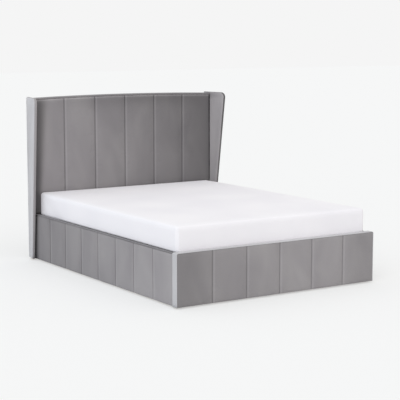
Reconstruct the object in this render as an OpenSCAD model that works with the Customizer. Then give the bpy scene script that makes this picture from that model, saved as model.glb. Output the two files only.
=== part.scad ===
// Ottoman bed with a channelled velvet headboard between two splayed wings.
// The foot end of the sprung platform rises on a pair of four-bar lifts with gas struts.
// Seen from the foot: +X is right, +Y is towards the headboard and +Z is up.
// Places along the bed are measured from the front of the footboard and then centred.

/* [Mattress] */
// Width of the mattress
mattress_w = 1500; // [1200:10:1800]
// Length of the mattress
mattress_l = 1985; // [1880:5:2120]
// Thickness of the mattress at its crown
mattress_t = 205; // [160:5:240]
// Rounding of the mattress edges
mattress_r = 30; // [20:1:45]
// Rounding of the mattress's upright corners
mattress_corner_r = 34; // [25:1:60]
// How much the middle of the top stands above its edges
mattress_crown = 4; // [1:1:8]
// Gap between the mattress and each side rail
mattress_side_gap = 5; // [4:1:15]
// Gap between the mattress and the footboard
foot_gap = 2; // [1:1:15]
// Gap between the mattress and the headboard
head_gap = 10; // [8:1:30]

/* [Side rails] */
// Height of the top of the side rails
rail_top = 350; // [340:5:400]
// Height of the rails' lower edge above the ground
ground_gap = 10; // [8:1:20]
// Thickness of the rail board
rail_board_t = 23; // [18:1:30]
// Thickness of the channelled pad on the rail
rail_pad_t = 15; // [10:1:25]
// Thickness of the cloth lining inside the rail
lining_t = 2; // [1:0.5:4]
// Thickness of the padded turn-over along the rail's top
rail_cap_t = 4; // [3:1:8]
// Depth of the seams between the rail's channels
rail_seam = 7; // [3:1:9]
// Channels along each side rail
rail_channels = 8; // [6:1:10]
// Space between the end of the rail pad and the headboard's face
rail_pad_end_gap = 4; // [2:1:40]

/* [Footboard] */
// Height of the top of the footboard
foot_top = 358; // [350:5:410]
// How far the footboard stands out past each side rail
foot_overhang = 5; // [0:1:15]
// Thickness of the channelled pad on the footboard
foot_pad_t = 18; // [12:1:25]
// Thickness of the footboard's board
foot_board_t = 36; // [25:1:45]
// Thickness of the padded wrap round the footboard's back, top and ends
foot_wrap_t = 4; // [3:1:8]
// How far the crown of the footboard pad stands in front of the wrap
foot_pad_proud = 3; // [1:1:6]
// Depth of the seams between the footboard's channels
foot_seam = 8; // [3:1:11]
// Channels across the footboard
foot_channels = 6; // [4:1:8]

/* [Headboard] */
// Space between a side rail's pad and the inner face of the wing beside it
wing_gap = 5; // [2:1:60]
// Height of the headboard beside the wings
head_h = 1227; // [1000:1:1400]
// How much higher the middle of the headboard is
head_arch = 13; // [4:1:40]
// Thickness of the channelled pad on the headboard
head_pad_t = 30; // [20:1:45]
// Height of the lower edge of the headboard pad
head_pad_bottom = 362; // [355:1:420]
// Thickness of the headboard's board
head_board_t = 18; // [12:1:25]
// Depth of the timber frame behind the board
head_frame_t = 32; // [22:1:45]
// Width of the timber in the headboard's frame
head_frame_w = 70; // [45:5:90]
// Thickness of the panel that closes the back
head_back_t = 5; // [3:1:9]
// Height of the smooth border along the top of the headboard
head_border_h = 12; // [8:1:20]
// How far the border is set back from the headboard's face
border_setback = 4; // [0:1:15]
// Depth of the seams between the headboard's channels
head_seam = 10; // [5:1:18]
// Channels across the headboard
head_channels = 6; // [4:1:10]

/* [Wings] */
// Thickness of a wing with its cloth
wing_t = 23; // [20:1:40]
// Thickness of the padding on each side of the wing board
wing_pad_t = 4; // [3:1:8]
// How far a wing reaches in front of the headboard at its top
wing_top_reach = 156; // [80:1:220]
// How far a wing reaches in front of the headboard at the ground
wing_bottom_reach = 13; // [10:1:80]
// Angle by which a wing opens outwards
wing_splay = 11; // [0:0.5:15]
// Radius of the wing's front top corner
wing_corner_r = 40; // [15:1:70]
// How much the wings stand above the ends of the headboard
wing_rise = 9; // [0:1:60]

/* [Storage base] */
// Height of the underside of the storage floor
floor_z = 22; // [20:1:26]
// Thickness of the storage floor panels
floor_t = 6; // [4:1:6]
// Panels in the storage floor
floor_panels = 4; // [2:1:6]
// Gap between two floor panels
floor_joint = 2; // [1:1:5]
// Width of the bearers under the storage floor
bearer_w = 60; // [40:5:80]
// Radius of a foot glide
glide_r = 11; // [8:1:11]
// Distance from the ends of a bearer to its outer glides
glide_inset = 40; // [20:1:80]
// Height of the timber ledges that carry the closed platform
ledge_h = 30; // [20:1:40]

/* [Platform] */
// Height of the underside of the platform frame at rest
platform_z = 273; // [272:1:290]
// Width of the platform's steel tubes
tube_w = 25; // [20:1:35]
// Height of the platform's steel tubes
tube_h = 30; // [25:1:40]
// Wall of the platform's steel tubes
tube_wall = 2; // [1.5:0.5:3]
// Space between a side tube and the rail's inner face
platform_side_gap = 41; // [41:1:60]
// Distance from the footboard's wrap to the foot tube
platform_foot_gap = 18; // [14:1:40]
// Distance from the headboard's face to the head tube
platform_head_gap = 25; // [20:1:60]
// Slats on each side of the middle tube
slat_count = 14; // [10:1:16]
// Width of a slat
slat_w = 56; // [40:1:68]
// Thickness of a slat
slat_t = 8; // [6:1:10]
// How much the middle of a slat is bowed upwards
slat_bow = 3; // [1:1:6]
// How much of a slat's end sits in its holder
slat_seat = 20; // [12:1:22]
// Wall of a slat holder
holder_wall = 2; // [1.5:0.5:3]
// Thickness of a holder under its slat
holder_base = 1; // [0.8:0.1:2]
// Height of a holder's rim over its slat
holder_rim = 3.2; // [2.5:0.1:4]
// Play of a slat in its holder on each side
slat_clear = 0.3; // [0.2:0.1:0.5]
// Space between a cross tube and the nearest slat
slat_end_gap = 12; // [8:1:30]
// Width of the pull strap
strap_w = 38; // [25:1:50]
// Thickness of the pull strap
strap_t = 2.5; // [1.5:0.5:4]
// Length of the pull strap that hangs in front of the foot tube
strap_hang = 85; // [60:5:120]

/* [Lift mechanism] */
// Distance from the footboard's front to the pivot of the lift arm
arm_pivot_y = 1018; // [1010:1:1030]
// Height of the pivot of the lift arm
arm_pivot_z = 70; // [66:1:74]
// Distance from the arm's pivot to the link's pivot along the bed
link_pivot_dy = 182; // [178:1:186]
// Height of the link's pivot above the arm's pivot
link_pivot_dz = 117; // [113:1:121]
// Length of the arm along the bed at rest
arm_dy = 429; // [420:1:438]
// Rise of the arm at rest
arm_dz = 135; // [131:1:139]
// Length of the link along the bed at rest
link_dy = 291; // [285:1:297]
// Rise of the link at rest
link_dz = 65; // [61:1:69]
// Thickness of the steel plates, arms and links
plate_t = 5; // [4:0.5:5.5]
// Width of the arms and links
arm_w = 30; // [24:1:32]
// Radius of the round ends of the arms and links
boss_r = 17; // [15:1:19]
// Radius of the pivot pins
pin_r = 6; // [5:0.5:7]
// Running clearance of a pin in its bore
pin_clear = 0.06; // [0.03:0.01:0.1]
// Extra clearance of the open pivot at the upper end of the link
open_clear = 1.6; // [1.5:0.1:2]
// Space between two plates that pass each other
plate_gap = 2; // [1.5:0.5:2]
// Thickness of a pin's head
pin_head_t = 3; // [2:0.5:3]
// How far a pin's head or spacer stands out past its shank
pin_flange = 4; // [3:0.5:5]
// Play along a pin between its head and the plate
pin_play = 0.5; // [0.3:0.1:0.8]
// Thickness of the head of a link's lower pin, which stays clear of the bracket
link_head_t = 2; // [1.5:0.5:2]
// Thickness of the washer at the link's upper end
washer_t = 1.5; // [1:0.5:1.5]
// Thickness of the low heads of the platform brackets' screws
screw_head_t = 1.2; // [1:0.1:1.4]
// Margin of a base plate round its pivots
plate_margin = 32; // [28:1:36]
// Length of a base plate's shoulders
plate_shoulder = 70; // [64:2:76]
// Height of a base plate's edge above the foot of the strut
plate_nose = 62; // [58:1:66]
// Space between the storage floor and the base plates
plate_lift = 4; // [2:1:6]
// How far a platform bracket reaches past its pivots along the tube
hanger_reach = 60; // [52:2:66]
// Steel round the pivots of a platform bracket
hanger_edge = 16; // [14:1:17]

/* [Gas struts] */
// Distance of both strut ends from the link's pivot
strut_radius = 180; // [172:1:186]
// Angle between the strut's ends about the link's pivot at rest
strut_angle = 64; // [60:1:66]
// Radius of the strut's cylinder
strut_r = 9; // [8:0.5:9]
// Wall of the strut's cylinder
strut_wall = 1.5; // [1:0.5:2]
// Radius of the strut's rod
rod_r = 4; // [3:0.5:5]
// Length of the cylinder's barrel
barrel_l = 150; // [140:1:155]
// Radius of the eyes at the strut's ends
eye_r = 9; // [8.5:0.5:9]
// Thickness of the eyes at the strut's ends
eye_t = 10; // [8:1:10]
// Radius of the studs that carry the strut
stud_r = 4; // [3:0.5:5]
// How far a stud's collar stands out past its shank
stud_flange = 2; // [1.5:0.5:3]
// Thickness of a stud's head
stud_head_t = 2.5; // [2:0.5:2.5]
// Length of the solid neck between a strut's eye and its barrel
neck_l = 4; // [3:1:6]

/* [Fasteners] */
// Radius of a bolt's shank
bolt_r = 3; // [2.5:0.5:4]
// Radius of a bolt's head
bolt_head_r = 6; // [5:0.5:7]
// Height of a bolt's head
bolt_head_t = 3.5; // [2.5:0.5:4]
// Length of a bolt below the plate that it holds
bolt_l = 16; // [12:1:17]
// Thickness of a corner bracket
bracket_t = 3; // [2:0.5:5]
// Length of a corner bracket's legs
bracket_leg = 50; // [40:1:60]
// Height of a corner bracket
bracket_h = 150; // [100:5:170]
// Height of the lower end of the corner brackets
bracket_z = 70; // [50:5:100]
// Distance from a corner bracket's end to its nearest bolt
bracket_edge = 30; // [20:1:40]
// Length of the bolts that hold the wings
wing_bolt_l = 48; // [44:1:52]

/* [Hidden] */
$fn = 48;

velvet = "#8b898a";
velvet_light = "#b9b9bf";
white_cloth = "#f1f1f4";
timber = "#c9a877";
floor_white = "#d8d2c8";
board = "#8a6a48";
steel_black = "#2b2c2e";
steel_bright = "#b7babd";
plastic_black = "#1c1c1e";

// Gap between the closed platform and the ledges, and between the mattress and the slats
seat = 0.3;

inner_w = mattress_w + 2 * mattress_side_gap;
rail_inner = inner_w / 2;
rail_board_x = rail_inner + lining_t;
rail_pad_x = rail_board_x + rail_board_t;
rail_outer = rail_pad_x + rail_pad_t;
foot_w = 2 * (rail_outer + foot_overhang);
head_w = 2 * (rail_outer + wing_gap);
wing_h = head_h + wing_rise;
foot_board_y = foot_pad_t;
foot_wrap_y = foot_board_y + foot_board_t;
foot_back_y = foot_wrap_y + foot_wrap_t;
mattress_y = foot_back_y + foot_gap;
face_y = mattress_y + mattress_l + head_gap;
head_board_y = face_y + head_pad_t;
head_frame_y = head_board_y + head_board_t;
head_back_y = head_frame_y + head_frame_t;
bed_l = head_back_y + head_back_t;
rail_pad_end = face_y - rail_pad_end_gap;
rail_h = rail_top - ground_gap;

slat_z = platform_z + tube_h + holder_base;
mattress_z = slat_z + slat_t + slat_bow + seat;
side_tube_x = rail_inner - platform_side_gap;
tube_foot_y = foot_back_y + platform_foot_gap;
tube_head_y = face_y - platform_head_gap;
tube_l = tube_head_y - tube_foot_y;

arm_pivot = [arm_pivot_y, arm_pivot_z];
link_pivot = arm_pivot + [link_pivot_dy, link_pivot_dz];
arm_end = arm_pivot + [arm_dy, arm_dz];
link_end = link_pivot + [link_dy, link_dz];
link_angle = atan2(link_dz, link_dy);
strut_top = link_pivot + strut_radius * [cos(link_angle), sin(link_angle)];
foot_angle = link_angle - strut_angle;
strut_foot = link_pivot + strut_radius * [cos(foot_angle), sin(foot_angle)];
strut_rest_l = 2 * strut_radius * sin(strut_angle / 2);
strut_dir = atan2(strut_top[1] - strut_foot[1], strut_top[0] - strut_foot[0]);

// Layers of the mechanism, from the rail's inner face towards the middle of the bed
plate_x = rail_inner - plate_t;
strut_x = plate_x - plate_gap - 2 - strut_r;
link_x = strut_x - strut_r - plate_gap - plate_t;
hanger_x = link_x - plate_gap - plate_t;
arm_x = hanger_x - plate_gap - plate_t;
stud_side = (eye_t + pin_play * 2) / 2;

// Height of the headboard's top edge at a distance x from the middle
function arch_z(x) = head_h + head_arch * (1 - pow(2 * x / head_w, 2));

module placed() {
    translate([0, -bed_l / 2, 0]) children();
}

// A part drawn for the right side, or its mirror image for the left side
module sided(side) {
    placed() if (side > 0) children(); else mirror([1, 0, 0]) children();
}

module yz_plate(t) {
    rotate([90, 0, 90]) linear_extrude(t) children();
}

// A round bar along X, through the point p of the side view
module x_rod(p, r, x0, x1) {
    translate([x0, p[0], p[1]]) rotate([0, 90, 0]) cylinder(r = r, h = x1 - x0);
}

// Side view of a flat bar from p to q with round ends and a hole at each end
module bar_outline(p, q, hole_p, hole_q) {
    d = q - p;
    difference() {
        union() {
            translate(p) rotate(atan2(d[1], d[0])) translate([0, -arm_w / 2]) square([norm(d), arm_w]);
            translate(p) circle(r = boss_r);
            translate(q) circle(r = boss_r);
        }
        translate(p) circle(r = hole_p);
        translate(q) circle(r = hole_q);
    }
}

// Steps across one channel, and the rows near the ends of a channel
channel_steps = [0, 0.035, 0.11, 0.28, 0.5, 0.72, 0.89, 0.965];
end_rows = [0, 4, 14, 40];

function channel_us(n) = concat([for (k = [0:n - 1]) for (s = channel_steps) (k + s) / n], [1]);
function crown(u, n) = let(f = u * n - floor(u * n)) pow(sin(180 * f), 0.45);
function end_draw(d) = d >= 40 ? 1 : pow(sin(90 * (d + 2) / 42), 0.5);

// Closed solid of a pad with sewn channels: flat at the back, crowned in front.
// Its front faces -Y. seam is the depth of its seams; lows and highs give the lower and upper
// edge over each step in u.
module channel_pad(w, n, t, seam, lows, highs) {
    us = channel_us(n);
    cols = len(us);
    half = len(end_rows);
    rows = 2 * half;
    front = [for (j = [0:rows - 1]) for (i = [0:cols - 1])
        let(d = j < half ? end_rows[j] : end_rows[rows - 1 - j],
            z = j < half ? lows[i] + d : highs[i] - d,
            depth = t - seam * (1 - crown(us[i], n) * end_draw(d)))
        [(us[i] - 0.5) * w, -depth, z]];
    ring = concat([for (i = [0:cols - 1]) i],
        [for (j = [1:rows - 1]) j * cols + cols - 1],
        [for (i = [cols - 2:-1:0]) (rows - 1) * cols + i],
        [for (j = [rows - 2:-1:1]) j * cols]);
    middle = [0, 0, (lows[0] + highs[0]) / 2];
    back = concat([for (k = ring) [front[k][0], 0, front[k][2]]], [middle]);
    count = cols * rows;
    n_ring = len(ring);
    faces_front = [for (j = [0:rows - 2]) for (i = [0:cols - 2])
        let(a = j * cols + i)
        each [[a, a + cols, a + cols + 1], [a, a + cols + 1, a + 1]]];
    faces_side = [for (k = [0:n_ring - 1])
        let(m = (k + 1) % n_ring)
        each [[ring[k], ring[m], count + m], [ring[k], count + m, count + k]]];
    faces_back = [for (k = [0:n_ring - 1]) [count + k, count + (k + 1) % n_ring, count + n_ring]];
    polyhedron(concat(front, back), concat(faces_front, faces_side, faces_back), convexity = 6);
}

module level_channel_pad(w, n, t, seam, z0, z1) {
    flat = channel_us(n);
    channel_pad(w, n, t, seam, [for (u = flat) z0], [for (u = flat) z1]);
}

// Closed solid of the mattress: rounded edges, sides drawn in and a crowned top
corner_steps = 5;
function ring_points(inset, z) = let(
        hw = mattress_w / 2, hl = mattress_l / 2,
        r = max(mattress_corner_r - inset, 2), c = [hw - inset - r, hl - inset - r])
    [for (q = [0:3]) for (k = [0:corner_steps])
        let(a = 90 * q + 90 * k / corner_steps,
            sx = (q == 0 || q == 3) ? 1 : -1, sy = q < 2 ? 1 : -1)
        [sx * c[0] + r * cos(a), sy * c[1] + r * sin(a), z]];
module mattress_form() {
    r = mattress_r;
    edge = mattress_t - mattress_crown;
    draw = 3;
    levels = concat(
        [[r * 1.5, 0]],
        [for (a = [0:22.5:90]) [r * (1 - sin(a)), r * (1 - cos(a))]],
        [[draw, mattress_t / 2]],
        [for (a = [0:22.5:90]) [r * (1 - cos(a)), edge - r * (1 - sin(a))]],
        [[r * 3, edge + mattress_crown * 0.5], [r * 9, edge + mattress_crown]]);
    points = [for (l = levels) each ring_points(l[0], l[1])];
    n = 4 * (corner_steps + 1);
    top = (len(levels) - 1) * n;
    sides = [for (j = [0:len(levels) - 2]) for (k = [0:n - 1])
        let(m = (k + 1) % n, a = j * n)
        each [[a + k, a + n + k, a + n + m], [a + k, a + n + m, a + m]]];
    polyhedron(points, concat([[for (k = [0:n - 1]) k]], sides,
        [[for (k = [n - 1:-1:0]) top + k]]), convexity = 4);
}

module mattress() {
    color(white_cloth) placed()
        translate([0, mattress_y + mattress_l / 2, mattress_z]) mattress_form();
}

// Half width of the headboard's body at a place behind its face, inside the splayed wings
function head_half(y) = head_w / 2 - (y - face_y) * tan(wing_splay);

// Keeps the part of its children that lies between the inner faces of the two wings
module between_wings() {
    intersection() {
        children();
        translate([0, 0, ground_gap]) linear_extrude(head_h + head_arch)
            polygon([[-head_w / 2, face_y], [head_w / 2, face_y],
                [head_half(bed_l), bed_l], [-head_half(bed_l), bed_l]]);
    }
}

// Every piece under the arch follows the same short chords, so that they meet face to face
arch_steps = 24;
arch_xs = [for (k = [0:arch_steps]) head_w * (k / arch_steps - 0.5)];
function arch_line(drop) = [for (x = arch_xs) [x, arch_z(x) - drop]];
function backwards(list) = [for (k = [len(list) - 1:-1:0]) list[k]];

// Upright slab across the bed from y0 back to y1
module slab(y0, y1) {
    translate([0, y1, 0]) rotate([90, 0, 0]) linear_extrude(y1 - y0) children();
}
module arched_panel(y0, y1) {
    between_wings() slab(y0, y1) polygon(concat(arch_line(head_border_h),
        [[head_w / 2, ground_gap], [-head_w / 2, ground_gap]]));
}

// The pad ends a little below the border, clear of its chords
pad_gap = 0.1;
module headboard_pad() {
    half_w = head_half(head_board_y);
    us = channel_us(head_channels);
    color(velvet) placed() translate([0, head_board_y, 0])
        channel_pad(2 * half_w, head_channels, head_pad_t, head_seam,
            [for (u = us) head_pad_bottom],
            [for (u = us) arch_z((2 * u - 1) * half_w) - head_border_h - pad_gap]);
}

module headboard_border() {
    color(velvet) placed() between_wings() slab(face_y + border_setback, bed_l)
        polygon(concat(arch_line(0), backwards(arch_line(head_border_h))));
}

module headboard_board() {
    color(board) placed() difference() {
        arched_panel(head_board_y, head_frame_y);
        corner_holes();
    }
}

post_top = head_h - head_border_h;
module headboard_posts() {
    inner = head_half(bed_l) - head_frame_w;
    color(timber) placed() difference() {
        between_wings() for (side = [-1, 1]) mirror([side > 0 ? 0 : 1, 0, 0])
            translate([inner, head_frame_y, ground_gap])
                cube([head_w / 2 - inner, head_frame_t, post_top - ground_gap]);
        at_wing_bolts(1) bolt_hole(wing_bolt_l);
        at_wing_bolts(-1) bolt_hole(wing_bolt_l);
    }
}

module headboard_crossbars() {
    half_w = head_half(bed_l) - head_frame_w;
    heights = [bracket_z, (ground_gap + head_h) / 2, post_top - head_frame_w];
    color(timber) placed() for (z = heights)
        translate([-half_w, head_frame_y, z]) cube([2 * half_w, head_frame_t, head_frame_w]);
}

module headboard_back() {
    color(velvet) placed() arched_panel(head_back_y, bed_l);
}

// Side outline of a wing down to base, with its edges drawn in by inset
module wing_outline(inset, back, base) {
    r = wing_corner_r - inset;
    reach_top = wing_top_reach - inset;
    reach_bottom = wing_bottom_reach - inset;
    top = wing_h - inset;
    lean = atan2(reach_top - reach_bottom, top - ground_gap);
    middle = [-reach_top + r * (1 + sin(lean)) / cos(lean), top - r];
    steps = 8;
    arc_points = [for (k = [0:steps]) let(a = 180 + lean - (90 + lean) * k / steps)
        middle + r * [cos(a), sin(a)]];
    low = base < ground_gap ? [[-reach_bottom, base]] : [];
    polygon(concat([[back, base]], low, [[-reach_bottom, ground_gap]], arc_points, [[back, top]]));
}

wing_back = (bed_l - face_y - wing_t * sin(wing_splay)) / cos(wing_splay);

// Local frame of a wing: X goes outwards through it and Y backwards along its inner face
module wing_frame() {
    translate([head_w / 2, face_y, 0]) rotate([0, 0, wing_splay]) children();
}

// Bolts through a wing's board into the headboard's post
wing_bolt_y = (head_frame_y + head_frame_t / 2 - face_y) / cos(wing_splay);
wing_bolt_zs = [0.17, 0.5, 0.83] * wing_h;
module at_wing_bolts(side) {
    mirror([side > 0 ? 0 : 1, 0, 0]) wing_frame() for (z = wing_bolt_zs)
        translate([wing_t - wing_pad_t, wing_bolt_y, z]) rotate([0, -90, 0]) children();
}

module wing_board(side) {
    color(board) placed() difference() {
        mirror([side > 0 ? 0 : 1, 0, 0]) wing_frame()
            translate([wing_pad_t, 0, 0]) yz_plate(wing_t - 2 * wing_pad_t)
                wing_outline(wing_pad_t, wing_back - wing_pad_t, ground_gap);
        at_wing_bolts(side) bolt_hole(wing_bolt_l);
    }
}

module wing_cover(side) {
    pocket = bolt_head_t + 0.2;
    color(velvet_light) placed() difference() {
        mirror([side > 0 ? 0 : 1, 0, 0]) wing_frame() difference() {
            yz_plate(wing_t) wing_outline(0, wing_back, ground_gap);
            translate([wing_pad_t, 0, 0]) yz_plate(wing_t - 2 * wing_pad_t)
                wing_outline(wing_pad_t, wing_back - wing_pad_t, ground_gap - 1);
        }
        at_wing_bolts(side) bolt_hole(wing_bolt_l);
        at_wing_bolts(side) translate([0, 0, -pocket]) cylinder(r = bolt_head_r + 0.2, h = pocket + 1);
    }
}

module wing_bolts() {
    color(steel_black) placed() for (side = [-1, 1]) at_wing_bolts(side) bolt(wing_bolt_l);
}

module footboard_pad() {
    w = foot_w - 2 * foot_wrap_t - 1;
    color(velvet) placed() translate([0, foot_board_y, 0])
        level_channel_pad(w, foot_channels, foot_pad_t, foot_seam, ground_gap + 1,
            foot_top - foot_wrap_t - 0.5);
}

module footboard_board() {
    w = foot_w - 2 * foot_wrap_t;
    color(board) placed() difference() {
        translate([-w / 2, foot_board_y, ground_gap])
            cube([w, foot_board_t, foot_top - foot_wrap_t - ground_gap]);
        corner_holes();
    }
}

module footboard_wrap() {
    color(velvet_light) placed() difference() {
        translate([-foot_w / 2, foot_pad_proud, ground_gap])
            cube([foot_w, foot_back_y - foot_pad_proud, foot_top - ground_gap]);
        translate([-foot_w / 2 + foot_wrap_t, foot_pad_proud - 1, ground_gap - 1])
            cube([foot_w - 2 * foot_wrap_t, foot_wrap_y - foot_pad_proud + 1,
                foot_top - foot_wrap_t - ground_gap + 1]);
        corner_holes();
    }
}

module rail_board(side) {
    color(board) sided(side) difference() {
        translate([rail_board_x, foot_back_y, ground_gap])
            cube([rail_board_t, head_board_y - foot_back_y, rail_h - rail_cap_t]);
        corner_holes();
        plate_holes();
    }
}

module rail_pad(side) {
    l = rail_pad_end - foot_back_y - 1;
    color(velvet) sided(side) translate([rail_pad_x, foot_back_y + 1 + l / 2, 0]) rotate([0, 0, 90])
        level_channel_pad(l, rail_channels, rail_pad_t, rail_seam, ground_gap + 1,
            rail_top - rail_cap_t);
}

module rail_cap(side) {
    color(velvet) sided(side) difference() {
        union() {
            translate([rail_inner, foot_back_y, ground_gap])
                cube([lining_t, head_board_y - foot_back_y, rail_h]);
            translate([rail_inner, foot_back_y, rail_top - rail_cap_t])
                cube([rail_outer - rail_inner - 2, rail_pad_end - foot_back_y, rail_cap_t]);
        }
        corner_holes();
        plate_holes();
    }
}

// Bolts of the four corner brackets: place on the bracket's face and turn about Z
bracket_bolt_zs = [bracket_z + bracket_edge, bracket_z + bracket_h - bracket_edge];
module at_corner_bolts() {
    ends = [foot_back_y, head_board_y];
    for (end = [0, 1]) for (side = [-1, 1]) for (z = bracket_bolt_zs) {
        turn = end == 0 ? 1 : -1;
        translate([side * (rail_inner - bracket_t), ends[end] + turn * bracket_leg * 0.6, z])
            rotate([0, side * 90, 0]) children();
        translate([side * (rail_inner - bracket_leg * 0.6), ends[end] + turn * bracket_t, z])
            rotate([turn * 90, 0, 0]) children();
    }
}

// Holes are a tenth of a millimetre wider than the bolts, and deeper
module bolt_hole(l) {
    translate([0, 0, -1]) cylinder(r = bolt_r + 0.1, h = l + 2);
}
module bolt(l) {
    translate([0, 0, -bolt_head_t]) cylinder(r = bolt_head_r, h = bolt_head_t);
    cylinder(r = bolt_r, h = l);
}
module corner_holes() {
    at_corner_bolts() bolt_hole(bolt_l);
}

module corner_brackets() {
    color(steel_bright) placed() difference() {
        for (side = [-1, 1]) for (end = [0, 1]) {
            y0 = end == 0 ? foot_back_y : head_board_y - bracket_leg;
            y1 = end == 0 ? foot_back_y : head_board_y - bracket_t;
            x0 = side > 0 ? rail_inner - bracket_t : -rail_inner;
            x1 = side > 0 ? rail_inner - bracket_leg : -rail_inner;
            translate([x0, y0, bracket_z]) cube([bracket_t, bracket_leg, bracket_h]);
            translate([x1, y1, bracket_z]) cube([bracket_leg, bracket_t, bracket_h]);
        }
        corner_holes();
    }
}

module bracket_bolts() {
    color(steel_black) placed() at_corner_bolts() bolt(bolt_l);
}

// Screws that hold the base plates to the side rails
plate_screw_points = [
    arm_pivot + plate_shoulder * [-0.14, 0.66], arm_pivot + plate_shoulder * [0.86, -0.29],
    arm_pivot + plate_shoulder * [1.43, 1], link_pivot + plate_shoulder * [-0.74, -0.06],
    link_pivot + plate_shoulder * [0.89, -1.06], strut_foot + plate_shoulder * [0.11, 0.63]];
module at_plate_screws() {
    for (p = plate_screw_points)
        translate([plate_x, p[0], p[1]]) rotate([0, 90, 0]) children();
}
module plate_holes() {
    at_plate_screws() bolt_hole(bolt_l);
}
module plate_screws() {
    color(steel_black) placed() for (side = [-1, 1])
        mirror([side > 0 ? 0 : 1, 0, 0]) at_plate_screws() bolt(bolt_l);
}

module base_plate(side) {
    low = floor_z + floor_t + plate_lift;
    toe = strut_foot[0] + plate_margin;
    heel = arm_pivot[0] - plate_margin;
    outline = [[heel, low], [toe, low], [toe, strut_foot[1] + plate_nose],
        link_pivot + plate_margin * [1, 1], link_pivot + [-plate_shoulder, plate_margin],
        [heel, arm_pivot[1] + plate_shoulder]];
    color(steel_black) sided(side) difference() {
        translate([plate_x, 0, 0]) yz_plate(plate_t) polygon(outline);
        x_rod(arm_pivot, pin_r, plate_x - 1, rail_inner + 1);
        x_rod(link_pivot, pin_r, plate_x - 1, rail_inner + 1);
        x_rod(strut_foot, stud_r, plate_x - 1, rail_inner + 1);
        plate_holes();
    }
}

// Pivot of the arm, pivot of the link and stud of the strut, riveted in the base plate
module base_pins(side) {
    color(steel_bright) sided(side) {
        x_rod(arm_pivot, pin_r, arm_x - pin_play, rail_inner);
        x_rod(arm_pivot, pin_r + pin_flange, arm_x + plate_t + pin_play, plate_x);
        x_rod(arm_pivot, pin_r + pin_flange, arm_x - pin_play - pin_head_t, arm_x - pin_play);
        x_rod(link_pivot, pin_r, link_x - pin_play, rail_inner);
        x_rod(link_pivot, pin_r + pin_flange, link_x + plate_t + pin_play, plate_x);
        x_rod(link_pivot, pin_r + pin_flange, link_x - pin_play - link_head_t, link_x - pin_play);
        x_rod(strut_foot, stud_r, strut_x - stud_side, rail_inner);
        x_rod(strut_foot, stud_r + stud_flange, strut_x + stud_side, plate_x);
        x_rod(strut_foot, stud_r + stud_flange, strut_x - stud_side - stud_head_t, strut_x - stud_side);
    }
}

module lift_arm(side) {
    hole = pin_r + pin_clear;
    color(steel_black) sided(side) translate([arm_x, 0, 0]) yz_plate(plate_t)
        bar_outline(arm_pivot, arm_end, hole, hole);
}

// The link carries the strut's upper stud on its outer face
module stay_link(side) {
    x1 = link_x + plate_t;
    color(steel_black) sided(side) {
        translate([link_x, 0, 0]) yz_plate(plate_t)
            bar_outline(link_pivot, link_end, pin_r + pin_clear, pin_r + open_clear);
        x_rod(strut_top, stud_r, x1 - 1, strut_x + stud_side);
        x_rod(strut_top, stud_r + stud_flange, x1 - 1, strut_x - stud_side);
        x_rod(strut_top, stud_r + stud_flange, strut_x + stud_side, strut_x + stud_side + stud_head_t);
    }
}

// Local frame of a strut: Z runs from the lower stud to the upper one
module strut_frame() {
    translate([strut_x, strut_foot[0], strut_foot[1]]) rotate([strut_dir - 90, 0, 0]) children();
}
module strut_eye() {
    translate([-eye_t / 2, 0, 0]) rotate([0, 90, 0]) cylinder(r = eye_r, h = eye_t);
}
module eye_hole() {
    translate([-eye_t / 2 - 1, 0, 0]) rotate([0, 90, 0])
        cylinder(r = stud_r + pin_clear, h = eye_t + 2);
}
neck = eye_r + neck_l;
gland_l = 6;
barrel_end = neck + barrel_l;
piston_l = 8;
rod_l = strut_rest_l - neck - piston_l;

// The barrel is closed at the foot and holds the rod's gland at its other end
module strut_cylinder(side) {
    bore = strut_r - strut_wall;
    gland = rod_r + 0.15;
    base = neck + neck_l;
    color(steel_black) sided(side) strut_frame() {
        difference() {
            union() {
                strut_eye();
                translate([0, 0, 2]) cylinder(r = rod_r, h = neck - 1);
            }
            eye_hole();
        }
        rotate_extrude() polygon([[0, neck], [strut_r, neck], [strut_r, barrel_end],
            [gland, barrel_end], [gland, barrel_end - gland_l], [bore, barrel_end - gland_l],
            [bore, base], [0, base]]);
    }
}

module strut_rod(side) {
    piston_r = strut_r - strut_wall - 0.3;
    color(steel_bright) sided(side) strut_frame() translate([0, 0, strut_rest_l]) difference() {
        union() {
            strut_eye();
            translate([0, 0, -rod_l]) cylinder(r = rod_r, h = rod_l);
            translate([0, 0, -rod_l]) cylinder(r = piston_r, h = piston_l);
        }
        eye_hole();
    }
}

hanger_y0 = arm_end[0] - hanger_reach;
hanger_y1 = link_end[0] + hanger_reach;

// Plate on the platform's side tube that takes the upper ends of the arm and the link
module platform_bracket(side) {
    x1 = hanger_x + plate_t;
    top = platform_z + tube_h - tube_wall;
    outline = [[hanger_y0, platform_z], arm_end - hanger_edge * [1, 0.75],
        arm_end + hanger_edge * [0.6, -1], link_end + hanger_edge * [1.4, -0.6],
        [hanger_y1, platform_z], [hanger_y1, top], [hanger_y0, top]];
    color(steel_black) sided(side) difference() {
        translate([hanger_x, 0, 0]) yz_plate(plate_t) polygon(outline);
        x_rod(arm_end, pin_r, hanger_x - 1, x1 + 1);
        x_rod(link_end, pin_r, hanger_x - 1, x1 + 1);
        at_tube_screws() bolt_hole(bolt_l);
    }
}

tube_screw_ys = [hanger_y0 + hanger_reach / 3, (hanger_y0 + hanger_y1) / 2, hanger_y1 - hanger_reach / 3];
module at_tube_screws() {
    for (y = tube_screw_ys)
        translate([hanger_x + plate_t, y, platform_z + tube_h / 2]) rotate([0, -90, 0]) children();
}

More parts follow.
